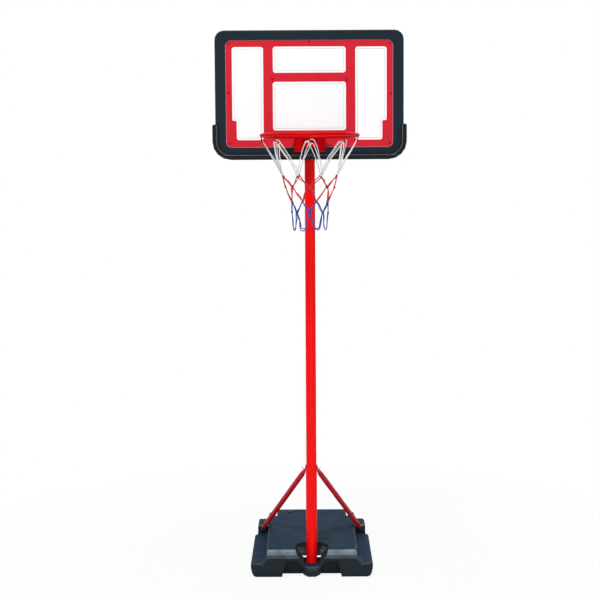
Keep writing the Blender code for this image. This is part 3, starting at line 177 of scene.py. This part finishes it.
class Look:
    """A material under construction: its nodes, and the shader that they feed."""

    def __init__(self, name, colour, roughness, metallic=0.0, specular=0.2):
        self.material = bpy.data.materials.new(name)
        self.material.use_nodes = True
        self.nodes = self.material.node_tree.nodes
        self.links = self.material.node_tree.links
        self.shader = self.nodes["Principled BSDF"]
        self.shader.inputs["Base Color"].default_value = colour
        self.shader.inputs["Roughness"].default_value = roughness
        self.shader.inputs["Metallic"].default_value = metallic
        self.shader.inputs["Specular IOR Level"].default_value = specular
        self.colour = colour
        self.place = self.add("ShaderNodeTexCoord").outputs["Object"]
        self.normal = None

    def add(self, kind, **settings):
        node = self.nodes.new(kind)
        for key, value in settings.items():
            setattr(node, key, value)
        return node

    def feed(self, socket, source):
        """Sets a socket to a number or colour, or links it to another socket."""
        if isinstance(source, bpy.types.NodeSocket):
            self.links.new(source, socket)
        else:
            socket.default_value = source

    def stretched(self, x, y, z):
        node = self.add("ShaderNodeMapping")
        self.feed(node.inputs["Vector"], self.place)
        node.inputs["Scale"].default_value = (x, y, z)
        return node.outputs["Vector"]

    def noise(self, scale, detail=3.0, rough=0.5, place=None):
        node = self.add("ShaderNodeTexNoise")
        self.feed(node.inputs["Vector"], place or self.place)
        node.inputs["Scale"].default_value = scale
        node.inputs["Detail"].default_value = detail
        node.inputs["Roughness"].default_value = rough
        return node.outputs["Fac"]

    def remap(self, value, low, high, to_low, to_high):
        node = self.add("ShaderNodeMapRange")
        self.feed(node.inputs["Value"], value)
        for key, number in zip(("From Min", "From Max", "To Min", "To Max"), (low, high, to_low, to_high)):
            node.inputs[key].default_value = number
        return node.outputs["Result"]

    def math(self, operation, a, b=0.0):
        node = self.add("ShaderNodeMath", operation=operation)
        self.feed(node.inputs[0], a)
        self.feed(node.inputs[1], b)
        return node.outputs[0]

    def mix(self, share, a, b):
        node = self.add("ShaderNodeMix", data_type="RGBA")
        self.feed(node.inputs["Factor"], share)
        self.feed(node.inputs["A"], a)
        self.feed(node.inputs["B"], b)
        return node.outputs["Result"]

    def tint(self, share, other):
        """Blends the colour so far towards another one."""
        self.colour = self.mix(share, self.colour, other)

    def parts_of(self, vector):
        """The X, Y and Z sockets of a vector."""
        split = self.add("ShaderNodeSeparateXYZ")
        self.feed(split.inputs[0], vector)
        return split.outputs["X"], split.outputs["Y"], split.outputs["Z"]

    def facing(self):
        """The surface's direction, in the piece's own directions."""
        return self.parts_of(self.add("ShaderNodeTexCoord").outputs["Normal"])

    def edge_highlight_mask(self):
        """The mask of a painted highlight: 1 where the surface rolls over from the top to the front, and less
        of it low down.
        """
        _, y, z = self.facing()
        rising = self.remap(z, 0.30, 0.86, 0.0, 1.0)
        falling = self.remap(z, 0.93, 0.999, 1.0, 0.0)
        forward = self.remap(y, -0.08, -0.40, 0.0, 1.0)
        share = self.remap(self.parts_of(self.place)[2], *EDGE_HIGHLIGHT_Z, EDGE_HIGHLIGHT_LEAST, 1.0)
        rolled = self.math("MULTIPLY", rising, falling)
        return self.math("MULTIPLY", rolled, self.math("MULTIPLY", forward, share))

    def topside(self):
        """1 where the surface faces up: the mask of the painted sky reflection."""
        return self.remap(self.facing()[2], 0.70, 0.99, 0.0, 1.0)

    def bump(self, height, depth):
        node = self.add("ShaderNodeBump")
        self.feed(node.inputs["Height"], height)
        node.inputs["Distance"].default_value = depth
        node.inputs["Strength"].default_value = 1.0
        if self.normal:
            self.feed(node.inputs["Normal"], self.normal)
        self.normal = node.outputs["Normal"]

    def done(self, roughness=None):
        if isinstance(self.colour, bpy.types.NodeSocket):
            self.feed(self.shader.inputs["Base Color"], self.colour)
        if roughness:
            self.feed(self.shader.inputs["Roughness"], roughness)
        if self.normal:
            self.feed(self.shader.inputs["Normal"], self.normal)
        return self.material


def powder_coat(name, colour, shade, rough, specular=0.12):
    """Sprayed and baked powder: faint orange peel, uneven gloss and a few hair scratches along the tube."""
    look = Look(name, colour, rough, specular=specular)
    look.tint(look.remap(look.noise(7.0, 4.0), 0.35, 0.75, 0.0, 0.35), shade)
    scratches = look.noise(60.0, 6.0, 0.7, look.stretched(9.0, 9.0, 0.35))
    look.tint(look.remap(scratches, 0.70, 0.80, 0.0, 0.20), srgb(205, 76, 72))
    look.bump(look.noise(420.0, 2.0), 0.00012)
    look.bump(scratches, 0.00005)
    return look.done(look.remap(look.noise(25.0, 5.0, 0.6), 0.3, 0.7, rough - 0.07, rough + 0.09))


def moulded(name, colour, pale, rough, grain=900.0, wave=0.0008, specular=0.12, painted_edge_highlight=None, sky_reflection=None):
    """Moulded plastic: fine pitted grain, a slightly uneven wall and paler scuffs.
    The two optional colours are painted light: a bluish painted sky reflection on faces that look up, and a
    pale painted highlight on front edges that roll over from the top."""
    look = Look(name, colour, rough, specular=specular)
    # Painted reflection: a bluish colour blended onto faces that look up, standing in for the sky that they
    # reflect
    if sky_reflection:
        look.tint(look.topside(), sky_reflection)
    look.tint(look.remap(look.noise(5.0, 5.0, 0.6), 0.35, 0.8, 0.0, 0.4), pale)
    scuffs = look.noise(38.0, 8.0, 0.75, look.stretched(1.0, 2.6, 2.6))
    look.tint(look.remap(scuffs, 0.64, 0.80, 0.0, 0.28), pale)
    # Painted highlight: a pale colour blended in patches onto the front edges, where they roll over from the
    # top
    if painted_edge_highlight:
        highlight_patches = look.remap(look.noise(24.0, 6.0, 0.65), 0.3, 0.62, 0.35, 1.0)
        look.tint(look.math("MULTIPLY", look.edge_highlight_mask(), highlight_patches), painted_edge_highlight)
    look.bump(look.noise(9.0, 2.0), wave)
    look.bump(look.noise(grain, 3.0, 0.6), 0.00012)
    return look.done(look.remap(look.noise(16.0, 6.0, 0.65), 0.3, 0.7, rough - 0.08, rough + 0.10))


def printed(name, colour, shade, rough):
    """Screen print on a smooth plastic sheet: nearly even ink with a faint dot screen and handling haze."""
    look = Look(name, colour, rough)
    look.tint(look.remap(look.noise(3.0, 4.0), 0.3, 0.8, 0.0, 0.22), shade)
    look.bump(look.noise(2.4, 1.0), 0.0006)
    look.bump(look.noise(1400.0, 1.0), 0.00002)
    return look.done(look.remap(look.noise(11.0, 6.0, 0.7), 0.3, 0.7, rough - 0.06, rough + 0.08))


def zinc_plate(name, colour=(0.72, 0.73, 0.74, 1.0)):
    """Bright zinc on turned or rolled steel, with dull spots and fine tool marks."""
    look = Look(name, colour, 0.28, metallic=1.0)
    look.tint(look.remap(look.noise(150.0, 5.0, 0.6), 0.45, 0.8, 0.0, 0.5), srgb(150, 148, 140))
    look.bump(look.noise(900.0, 2.0, 0.5, look.stretched(1.0, 0.12, 1.0)), 0.00006)
    return look.done(look.remap(look.noise(90.0, 4.0), 0.3, 0.75, 0.20, 0.46))


def black_steel(name):
    look = Look(name, srgb(34, 35, 37), 0.42)
    look.tint(look.remap(look.noise(30.0, 6.0, 0.7), 0.5, 0.85, 0.0, 0.6), srgb(78, 78, 80))
    look.bump(look.noise(500.0, 2.0), 0.00010)
    return look.done(look.remap(look.noise(20.0, 4.0), 0.3, 0.7, 0.34, 0.52))


def soft_rubber(name):
    look = Look(name, srgb(30, 30, 31), 0.8, specular=0.3)
    look.tint(look.remap(look.noise(60.0, 5.0), 0.4, 0.8, 0.0, 0.5), srgb(58, 57, 56))
    look.bump(look.noise(1200.0, 3.0), 0.0001)
    return look.done(look.remap(look.noise(40.0, 4.0), 0.3, 0.7, 0.7, 0.92))


def braid(name, colour, shadow, sheen):
    """Braided cord. The strands cross each other along the tube's UV: metres along it, and turns round it."""
    look = Look(name, colour, 0.62, specular=0.3)
    look.shader.inputs["Sheen Weight"].default_value = 0.35
    look.shader.inputs["Sheen Roughness"].default_value = 0.4
    look.shader.inputs["Sheen Tint"].default_value = sheen
    along, round_it, _ = look.parts_of(look.add("ShaderNodeTexCoord").outputs["UV"])
    turns = look.math("MULTIPLY", round_it, 2 * math.pi * 4)
    metres = look.math("MULTIPLY", along, 2 * math.pi * 330)
    left = look.math("SINE", look.math("ADD", metres, turns))
    right = look.math("SINE", look.math("SUBTRACT", metres, turns))
    weave = look.math("MAXIMUM", left, right)
    look.tint(look.remap(weave, -0.4, 0.6, 0.75, 0.0), shadow)
    look.tint(look.remap(look.noise(70.0, 4.0), 0.4, 0.8, 0.0, 0.25), shadow)
    look.bump(weave, 0.00018)
    look.bump(look.noise(2600.0, 3.0), 0.00006)
    return look.done()


LOOKS = {
    "pole_red": powder_coat("pole_red_coat", srgb(252, 6, 8), srgb(240, 5, 9), 0.36),
    "brace_red": powder_coat("brace_red_coat", srgb(196, 26, 38), srgb(168, 20, 32), 0.38),
    "rim_red": powder_coat("rim_red_coat", srgb(216, 4, 10), srgb(188, 2, 8), 0.36, specular=0.05),
    # The tank's last two colours are painted light: a pale painted highlight on its front edges and a bluish
    # painted sky reflection on its upper faces
    "tank_grey": moulded("tank_grey_mould", srgb(35, 42, 47), srgb(42, 50, 56), 0.60, specular=0.05,
                         painted_edge_highlight=srgb(136, 149, 161), sky_reflection=srgb(20, 44, 64)),
    "black_plastic": moulded("black_plastic_mould", srgb(28, 29, 30), srgb(48, 50, 51), 0.48, wave=0.0003),
    "board_grey": moulded("board_grey_mould", srgb(24, 36, 45), srgb(33, 46, 56), 0.46, wave=0.0004),
    "bumper_grey": moulded("bumper_grey_mould", srgb(21, 23, 27), srgb(34, 38, 43), 0.5, wave=0.0003),
    "panel_red": printed("panel_red_print", srgb(210, 30, 48), srgb(214, 30, 42), 0.42),
    "black_steel": black_steel("black_steel_coat"),
    "zinc": zinc_plate("zinc_plate"),
    # A darker copy of the zinc: painted shade for the rim bolts, which sit in shade
    "shaded_zinc": zinc_plate("zinc_painted_shade", srgb(92, 94, 98)),
    "bolt_red": powder_coat("bolt_red_coat", srgb(186, 30, 44), srgb(160, 22, 34), 0.42),
    "rubber": soft_rubber("seal_rubber"),
    "cord_white": braid("cord_white_braid", srgb(248, 248, 250), srgb(204, 207, 216), (1.0, 1.0, 1.0, 1.0)),
    "cord_red": braid("cord_red_braid", srgb(222, 22, 30), srgb(140, 8, 16), (1.0, 0.75, 0.75, 1.0)),
    "cord_blue": braid("cord_blue_braid", srgb(42, 74, 176), srgb(18, 32, 100), (0.75, 0.80, 1.0, 1.0)),
}


def add_object(name, bm, material, body, smooth=True):
    """A finished piece of the scene that rides on a body, with the material given to it."""
    bmesh.ops.recalc_face_normals(bm, faces=bm.faces)
    mesh = bpy.data.meshes.new(name)
    bm.to_mesh(mesh)
    bm.free()
    obj = bpy.data.objects.new(name, mesh)
    bpy.context.collection.objects.link(obj)
    for face in mesh.polygons:
        face.use_smooth = smooth
    mesh.materials.append(material)
    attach(obj, body)
    return obj


# Cords

def smooth_path(points, each, cyclic):
    """Points on a Catmull-Rom curve through the given ones, each many to a span."""
    ring = [Vector(p) for p in points]
    count = len(ring)
    spans = count if cyclic else count - 1
    path = []
    for i in range(spans):
        if cyclic:
            a, b, c, d = (ring[(i + k) % count] for k in (-1, 0, 1, 2))
        else:
            a, b, c, d = (ring[min(max(i + k, 0), count - 1)] for k in (-1, 0, 1, 2))
        for k in range(each):
            t = k / each
            path.append(0.5 * (2 * b + (c - a) * t + (2 * a - 5 * b + 4 * c - d) * t * t
                               + (3 * b - a - 3 * c + d) * t ** 3))
    if not cyclic:
        path.append(ring[-1])
    return path


def tube(bm, path, radius, sides=10, cyclic=False):
    """Adds a round tube along a path, with metres along it as U and turns round it as V."""
    layer = bm.loops.layers.uv.verify()
    count = len(path)
    tangents = []
    for i in range(count):
        before = path[i - 1] if i or cyclic else path[0]
        after = path[(i + 1) % count] if i + 1 < count or cyclic else path[-1]
        tangents.append((after - before).normalized())
    across = tangents[0].orthogonal().normalized()
    frames = []
    for tangent in tangents:
        across = (across - tangent * across.dot(tangent)).normalized()
        frames.append((across.copy(), tangent.cross(across)))
    twist = 0.0
    if cyclic:
        last = (frames[-1][0] - tangents[0] * frames[-1][0].dot(tangents[0])).normalized()
        twist = math.atan2(last.dot(frames[0][1]), last.dot(frames[0][0]))
    rings, lengths, run = [], [], 0.0
    for i, point in enumerate(path):
        if i:
            run += (point - path[i - 1]).length
        lengths.append(run)
        turn = -twist * i / count
        a, b = frames[i]
        ring = []
        for k in range(sides):
            angle = 2 * math.pi * k / sides + turn
            ring.append(bm.verts.new(point + (a * math.cos(angle) + b * math.sin(angle)) * radius))
        rings.append(ring)
    spans = count if cyclic else count - 1
    end = run + (path[0] - path[-1]).length
    for i in range(spans):
        low, high = rings[i], rings[(i + 1) % count]
        u0, u1 = lengths[i], lengths[i + 1] if i + 1 < count else end
        for k in range(sides):
            j = (k + 1) % sides
            face = bm.faces.new((low[k], low[j], high[j], high[k]))
            corners = ((u0, k / sides), (u0, (k + 1) / sides), (u1, (k + 1) / sides), (u1, k / sides))
            for loop, uv in zip(face.loops, corners):
                loop[layer].uv = uv
    if not cyclic:
        bm.faces.new(list(reversed(rings[0])))
        bm.faces.new(rings[-1])


def net_radius(z):
    return float(np.interp(z, [row[0] for row in NET_ROWS], [row[1] for row in NET_ROWS]))


def on_net(angle, along, z, outward=0.0):
    """A point of the net: at an angle round the rim's axis, some way along the circle, at a height.
    Knots and cords below the hooks sit a little off their even places."""
    radius = net_radius(z) + outward
    turned = angle + along / radius
    spot = Vector((UNEVEN_ROUND * math.sin(turned), UNEVEN_ROUND * math.cos(turned), UNEVEN_DOWN * z))
    hanging = min(1.0, max(0.0, (HOOKED_Z - z) / HANGING))
    turned += UNEVEN * hanging * noise.noise(spot) / radius
    drop = UNEVEN * hanging * noise.noise(spot + Vector((9.0, 4.0, 2.0)))
    return Vector((radius * math.sin(turned), RIM_Y - radius * math.cos(turned), z + drop))


def strand(angle0, z0, angle1, z1, seed, steps=STRAND_STEPS):
    """Inner points of a cord that hangs between two places, bows and wanders a little."""
    points = []
    for k in range(1, steps):
        t = k / steps
        angle, z = angle0 + (angle1 - angle0) * t, z0 + (z1 - z0) * t
        swing = math.sin(math.pi * t) * SLACK * abs(z1 - z0) / SLACK_SPAN
        wander = noise.noise(Vector((angle0 * 3.1, z0 * 40.0, seed)))
        bow = 0.5 + noise.noise(Vector((angle1 * 2.3, z1 * 31.0, seed + 7.0)))
        points.append(on_net(angle, wander * swing, z, -bow * swing))
    return points


def turn(angle, z, bend, up, aside=0.0):
    """Points where a cord turns back, over what holds it for up 1, or round what it holds for up -1."""
    points = []
    for k in range(-TURN_STEPS, TURN_STEPS + 1):
        lean = TURN_LEAN * k / TURN_STEPS
        points.append(on_net(angle, aside + bend * math.sin(lean), z - up * bend * (1 - math.cos(lean))))
    return points


def hanging_loop(hook, knot_at, z, bend, aside, seed):
    """A white cord that hangs on a hook, both legs of which run down to one knot."""
    over = turn(hook, z, bend, 1, aside)
    under = turn(knot_at, WHITE_KNOT_Z + SEAT, CORD_BEND, -1)
    low_z = WHITE_KNOT_Z + SEAT + CORD_BEND
    legs = []
    for side in (1, -1):
        top_angle = hook + (aside + side * bend) / net_radius(z)
        low_angle = knot_at + side * CORD_BEND / net_radius(low_z)
        legs.append(strand(top_angle, z - bend, low_angle, low_z, seed + side * 0.3, LEG_STEPS))
    return smooth_path(over + legs[0] + under[::-1] + legs[1][::-1], PATH_STEPS, True)


def zigzag(top, low, phase, seed):
    """A cord all round the net, between rows top and low, each given as (z, bend)."""
    points = []
    top_half, low_half = top[1] / net_radius(top[0]), low[1] / net_radius(low[0])
    for k in range(HOOKS):
        high_angle = FIRST_HOOK + (k + phase) * HOOK_STEP
        low_angle = high_angle + HOOK_STEP / 2
        next_angle = high_angle + HOOK_STEP
        high, deep = top[0] - top[1], low[0] + low[1]
        points += turn(high_angle, *top, 1)
        points += strand(high_angle + top_half, high, low_angle - low_half, deep, seed + k)
        points += turn(low_angle, *low, -1)
        points += strand(low_angle + low_half, deep, next_angle - top_half, high, seed + k + 0.5)
    return smooth_path(points, PATH_STEPS, True)


def knot(bm, angle, z, seed):
    """A tied knot: a cord wrapped in turns round the strands that it joins."""
    centre = on_net(angle, 0.0, z)
    outward = Vector((math.sin(angle), -math.cos(angle), 0.0))
    along = Vector((math.cos(angle), math.sin(angle), 0.0))
    tilt = 0.5 * noise.noise(Vector((seed * 1.7, z * 30, 2.0)))
    axis = (Vector((0, 0, 1)) + along * tilt).normalized()
    first = axis.cross(outward).normalized()
    second = axis.cross(first)
    path = []
    for k in range(KNOT_STEPS + 1):
        t = k / KNOT_STEPS
        angle_round = 2 * math.pi * KNOT_TURNS * t + seed
        reach = (KNOT - CORD) * (0.75 + 0.35 * math.sin(math.pi * t))
        place = centre + (first * math.cos(angle_round) + second * math.sin(angle_round)) * reach
        path.append(place + axis * (t - 0.5) * KNOT_LENGTH)
    tube(bm, path, KNOT_CORD, KNOT_SIDES)


def net():
    white, red, blue = bmesh.new(), bmesh.new(), bmesh.new()
    for k in range(HOOKS):
        hook = FIRST_HOOK + k * HOOK_STEP
        for side, z, bend, aside in LOOPS_ON_HOOK:
            path = hanging_loop(hook, hook + side * HOOK_STEP / 2, z, bend, aside, k + side)
            tube(white, path, WHITE_CORD, CORD_SIDES, True)
    for bm, top, low, low_bend, phase, seed in (
        (red, WHITE_KNOT_Z, CROSS_KNOT_Z - CROSSING, CORD_BEND, 0.5, 12.0),
        (red, CROSS_KNOT_Z + CROSSING, BLUE_KNOT_Z + SEAT, CORD_BEND, 0.0, 23.0),
        (blue, BLUE_KNOT_Z, LOW_KNOT_Z - CROSSING, CORD_BEND, 0.5, 34.0),
        (blue, LOW_KNOT_Z + CROSSING, LOOP_Z, LOOP_BEND, 0.0, 45.0),
    ):
        tube(bm, zigzag((top, CORD_BEND), (low, low_bend), phase, seed), CORD, CORD_SIDES, True)
    for k in range(HOOKS):
        below = FIRST_HOOK + k * HOOK_STEP
        between = below + HOOK_STEP / 2
        knot(red, between, WHITE_KNOT_Z, k)
        knot(red, below, CROSS_KNOT_Z, k + 9)
        knot(blue, between, BLUE_KNOT_Z, k + 18)
        knot(blue, below, LOW_KNOT_Z, k + 27)
    for colour, bm in (("white", white), ("red", red), ("blue", blue)):
        piece = add_object(f"net_{colour}_cord", bm, LOOKS[f"cord_{colour}"], "mast")
        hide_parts(f"net_{colour}")


# Board

def outline(corners, inset=0.0, steps=6):
    """A closed (x, z) outline from (x, z, radius) corners, each rounded, then moved inwards by inset."""
    points = [Vector((x, z)) for x, z, _ in corners]
    count = len(points)
    moved = []
    for i, corner in enumerate(points):
        into = (corner - points[i - 1]).normalized()
        out = (points[(i + 1) % count] - corner).normalized()
        normals = Vector((-into.y, into.x)), Vector((-out.y, out.x))
        scale = inset / (1 + normals[0].dot(normals[1]))
        moved.append(corner + (normals[0] + normals[1]) * scale)
    shape = []
    for i, corner in enumerate(moved):
        into = (corner - moved[i - 1]).normalized()
        out = (moved[(i + 1) % count] - corner).normalized()
        bend = into.angle_signed(out)
        radius = corners[i][2] - inset if bend < 0 else corners[i][2] + inset
        radius = max(radius, LEAST_RADIUS)
        cut = radius * math.tan(abs(bend) / 2)
        start, end = corner - into * cut, corner + out * cut
        side = 1 if bend < 0 else -1
        centre = start + Vector((-into.y, into.x)) * radius * side
        for k in range(steps + 1):
            turn_by = -bend * k / steps
            arm = start - centre
            c, s = math.cos(turn_by), math.sin(turn_by)
            shape.append(centre + Vector((arm.x * c - arm.y * s, arm.x * s + arm.y * c)))
    return shape


def flat_field(bm, shape, y):
    """A thin printed field: a face at depth y, with edges that drop back to the sheet."""
    front = [bm.verts.new((p.x, y, p.y)) for p in shape]
    back = [bm.verts.new((p.x, PANEL_FACE - PRINT_SINK, p.y)) for p in shape]
    bm.faces.new(front)
    for i in range(len(shape)):
        j = (i + 1) % len(shape)
        bm.faces.new((front[i], back[i], back[j], front[j]))


def flat_band(bm, outer, inner, y):
    """A thin printed line between two outlines of as many points."""
    rings = []
    for shape, depth in ((outer, PANEL_FACE), (outer, y), (inner, y), (inner, PANEL_FACE)):
        rings.append([bm.verts.new((p.x, depth, p.y)) for p in shape])
    for low, high in zip(rings, rings[1:]):
        for i in range(len(outer)):
            j = (i + 1) % len(outer)
            bm.faces.new((low[i], low[j], high[j], high[i]))


def rectangle(half_width, low, high, radius):
    right = [(half_width, low, radius), (half_width, high, radius)]
    return [(-half_width, low, radius), *right, (-half_width, high, radius)]


def side_window():
    """The right-hand field, with a step cut out of its lower outer corner."""
    inner, step, outer = SIDE_WINDOW_X
    low, shelf, high = SIDE_WINDOW_Z
    return [
        (inner, low, WINDOW_CORNER), (step, low, WINDOW_CORNER), (step, shelf, STEP_CORNER),
        (outer, shelf, STEP_CORNER), (outer, high, WINDOW_CORNER), (inner, high, WINDOW_CORNER),
    ]


def windows():
    white = printed("panel_white_print", srgb(254, 254, 254), srgb(246, 247, 249), 0.3)
    grey = printed("panel_line_print", srgb(190, 188, 198), srgb(176, 176, 186), 0.32)
    pink = printed("panel_edge_print", srgb(182, 128, 138), srgb(160, 128, 136), 0.34)
    fields, lines = bmesh.new(), bmesh.new()
    for corners in (
        side_window(), [(-x, z, radius) for x, z, radius in reversed(side_window())],
        rectangle(TOP_WINDOW_X, *TOP_WINDOW_Z, WINDOW_CORNER),
        rectangle(MAIN_WINDOW_X, *MAIN_WINDOW_Z, WINDOW_CORNER),
    ):
        flat_field(fields, outline(corners), PANEL_FACE - PRINT)
        flat_band(lines, outline(corners, MARGIN), outline(corners, MARGIN + LINE), PANEL_FACE - LINE_PRINT)
    add_object("panel_windows", fields, white, "mast", False)
    add_object("panel_lines", lines, grey, "mast", False)
    edge = bmesh.new()
    sheet = rectangle(PANEL_HALF_WIDTH, PANEL_BOTTOM, PANEL_TOP, PANEL_CORNER)
    flat_band(edge, *(outline(sheet, inset) for inset in EDGE_LINE_INSETS), PANEL_FACE - PRINT)
    add_object("panel_edge_line", edge, pink, "mast", False)


def painted_bumper_highlight():
    """A painted highlight: a thin pale tube along the bumper's face, where its rounded edge catches the
    light.
    """
    low = [(side * BUMPER_HALF_WIDTH, BUMPER_BOTTOM, BUMPER_CORNER) for side in (-1, 1)]
    top = [(side * BUMPER_HALF_WIDTH, BUMPER_TOP, BUMPER_TOP_CORNER) for side in (1, -1)]
    low_corners = outline(low + top, HIGHLIGHT_LINE_INSET, HIGHLIGHT_LINE_STEPS)[:2 * (HIGHLIGHT_LINE_STEPS + 1)]
    side, end = BUMPER_HALF_WIDTH - HIGHLIGHT_LINE_INSET, BUMPER_TOP - HIGHLIGHT_LINE_END
    line = [Vector((-side, end)), *low_corners, Vector((side, end))]
    bm = bmesh.new()
    tube(bm, smooth_path([(p.x, BUMPER_FACE, p.y) for p in line], 2, False), HIGHLIGHT_LINE, HIGHLIGHT_LINE_SIDES)
    # The pale colour of this tube is painted highlight
    pale = moulded("painted_bumper_highlight_mould", srgb(88, 100, 108), srgb(104, 116, 124), 0.4, wave=0.0001)
    add_object("painted_bumper_highlight", bm, pale, "mast")


def screw(bm, x, z, seed):
    """A pan-head screw that holds the panel, with a cross cut in its head."""
    def around(radius, out, angle):
        return bm.verts.new((x + radius * math.cos(angle), PANEL_FACE - out, z + radius * math.sin(angle)))

    angles = [2 * math.pi * k / SCREW_SIDES for k in range(SCREW_SIDES)]
    rings = [[around(SCREW_RADIUS * share, out, angle) for angle in angles] for share, out in SCREW_HEAD]
    for low, high in zip(rings, rings[1:]):
        for k in range(SCREW_SIDES):
            j = (k + 1) % SCREW_SIDES
            bm.faces.new((low[k], low[j], high[j], high[k]))
    arms = []
    for angle in angles:
        in_cut = math.cos(2 * (angle - seed)) ** 2 > SCREW_CUT_WIDTH
        out = SCREW_CUT_OUT if in_cut else SCREW_HEAD[-1][1]
        arms.append(around(SCREW_RADIUS * SCREW_CUT_SHARE, out, angle))
    middle = bm.verts.new((x, PANEL_FACE - SCREW_CUT_BOTTOM, z))
    for k in range(SCREW_SIDES):
        j = (k + 1) % SCREW_SIDES
        bm.faces.new((rings[-1][k], rings[-1][j], arms[j], arms[k]))
        bm.faces.new((arms[k], arms[j], middle))


def screws():
    bm = bmesh.new()
    for i, (x, z) in enumerate(SCREWS):
        screw(bm, x, z, i * SCREW_TURN)
    add_object("panel_screws", bm, LOOKS["black_steel"], "mast")


# Camera, floor and lights

def camera():
    data = bpy.data.cameras.new("camera")
    obj = bpy.data.objects.new("camera", data)
    bpy.context.collection.objects.link(obj)
    data.lens = LENS
    data.sensor_width = SENSOR
    data.shift_x, data.shift_y = SHIFT_X, SHIFT_Y
    data.clip_start, data.clip_end = 0.05, 100.0
    obj.location = CAMERA_PLACE
    obj.rotation_euler = (math.radians(90 + CAMERA_PITCH), math.radians(CAMERA_ROLL), 0.0)
    bpy.context.scene.camera = obj


def seen(nodes, links, path):
    """A socket that is 1 for what the camera, gloss and glass see, and 0 for light that falls on things."""
    total = path.outputs["Is Camera Ray"]
    for kind in ("Is Glossy Ray", "Is Transmission Ray"):
        both = nodes.new("ShaderNodeMath")
        both.operation = "MAXIMUM"
        links.new(total, both.inputs[0])
        links.new(path.outputs[kind], both.inputs[1])
        total = both.outputs[0]
    return total


def floor():
    bm = bmesh.new()
    bmesh.ops.create_grid(bm, x_segments=8, y_segments=8, size=FLOOR_HALF)
    mesh = bpy.data.meshes.new("floor")
    bm.to_mesh(mesh)
    bm.free()
    obj = bpy.data.objects.new("floor", mesh)
    bpy.context.collection.objects.link(obj)
    material = bpy.data.materials.new("pale_floor")
    material.use_nodes = True
    nodes, links = material.node_tree.nodes, material.node_tree.links
    shader = nodes["Principled BSDF"]
    shader.inputs["Base Color"].default_value = (0.80, 0.80, 0.80, 1.0)
    shader.inputs["Roughness"].default_value = 0.9
    glow = nodes.new("ShaderNodeEmission")
    glow.inputs["Strength"].default_value = 1.0
    path = nodes.new("ShaderNodeLightPath")
    place = nodes.new("ShaderNodeTexCoord")
    distance = nodes.new("ShaderNodeVectorMath")
    distance.operation = "LENGTH"
    links.new(place.outputs["Object"], distance.inputs[0])
    fade = nodes.new("ShaderNodeMapRange")
    fade.interpolation_type = "SMOOTHSTEP"
    for key, number in zip(("From Min", "From Max", "To Min", "To Max"), SHADOW_REACH + FLOOR_GLOW):
        fade.inputs[key].default_value = number
    links.new(distance.outputs["Value"], fade.inputs["Value"])
    share = nodes.new("ShaderNodeMath")
    share.operation = "MULTIPLY"
    links.new(fade.outputs["Result"], share.inputs[1])
    blend = nodes.new("ShaderNodeMixShader")
    links.new(seen(nodes, links, path), share.inputs[0])
    links.new(share.outputs[0], blend.inputs["Fac"])
    links.new(shader.outputs[0], blend.inputs[1])
    links.new(glow.outputs[0], blend.inputs[2])
    links.new(blend.outputs[0], nodes["Material Output"].inputs["Surface"])
    mesh.materials.append(material)


def world():
    sky = bpy.data.worlds.new("studio")
    bpy.context.scene.world = sky
    sky.use_nodes = True
    nodes, links = sky.node_tree.nodes, sky.node_tree.links
    light = nodes["Background"]
    light.inputs["Color"].default_value = (0.95, 0.97, 1.0, 1.0)
    light.inputs["Strength"].default_value = WORLD_STRENGTH
    white = nodes.new("ShaderNodeBackground")
    white.inputs["Color"].default_value = (1.0, 1.0, 1.0, 1.0)
    path = nodes.new("ShaderNodeLightPath")
    blend = nodes.new("ShaderNodeMixShader")
    links.new(seen(nodes, links, path), blend.inputs["Fac"])
    links.new(light.outputs[0], blend.inputs[1])
    links.new(white.outputs[0], blend.inputs[2])
    links.new(blend.outputs[0], nodes["World Output"].inputs["Surface"])


def lamp(name, place, target, size, watts, colour):
    data = bpy.data.lights.new(name, "AREA")
    data.shape = "DISK"
    data.size = size
    data.energy = watts
    data.color = colour
    obj = bpy.data.objects.new(name, data)
    bpy.context.collection.objects.link(obj)
    obj.location = place
    obj.rotation_euler = (Vector(target) - obj.location).to_track_quat("-Z", "Y").to_euler()


bpy.context.scene.view_settings.view_transform = "Standard"
camera()
floor()
world()
for settings in LAMPS:
    lamp(*settings)

SLOT_OF = {entry["node"]: entry["material_slot"] for entry in frame["record"]["subparts"]}
for name, obj in frame["nodes"].items():
    look = LOOKS[SLOT_OF[name]]
    # The rim bolts get the darker zinc, a painted shade
    if name.startswith("rim_bolt"):
        look = LOOKS["shaded_zinc"]
    elif name.startswith("face_bolt"):
        look = LOOKS["bolt_red"]
    if obj.material_slots:
        for slot in obj.material_slots:
            slot.material = look
    else:
        obj.data.materials.append(look)

net()
windows()
screws()
painted_bumper_highlight()
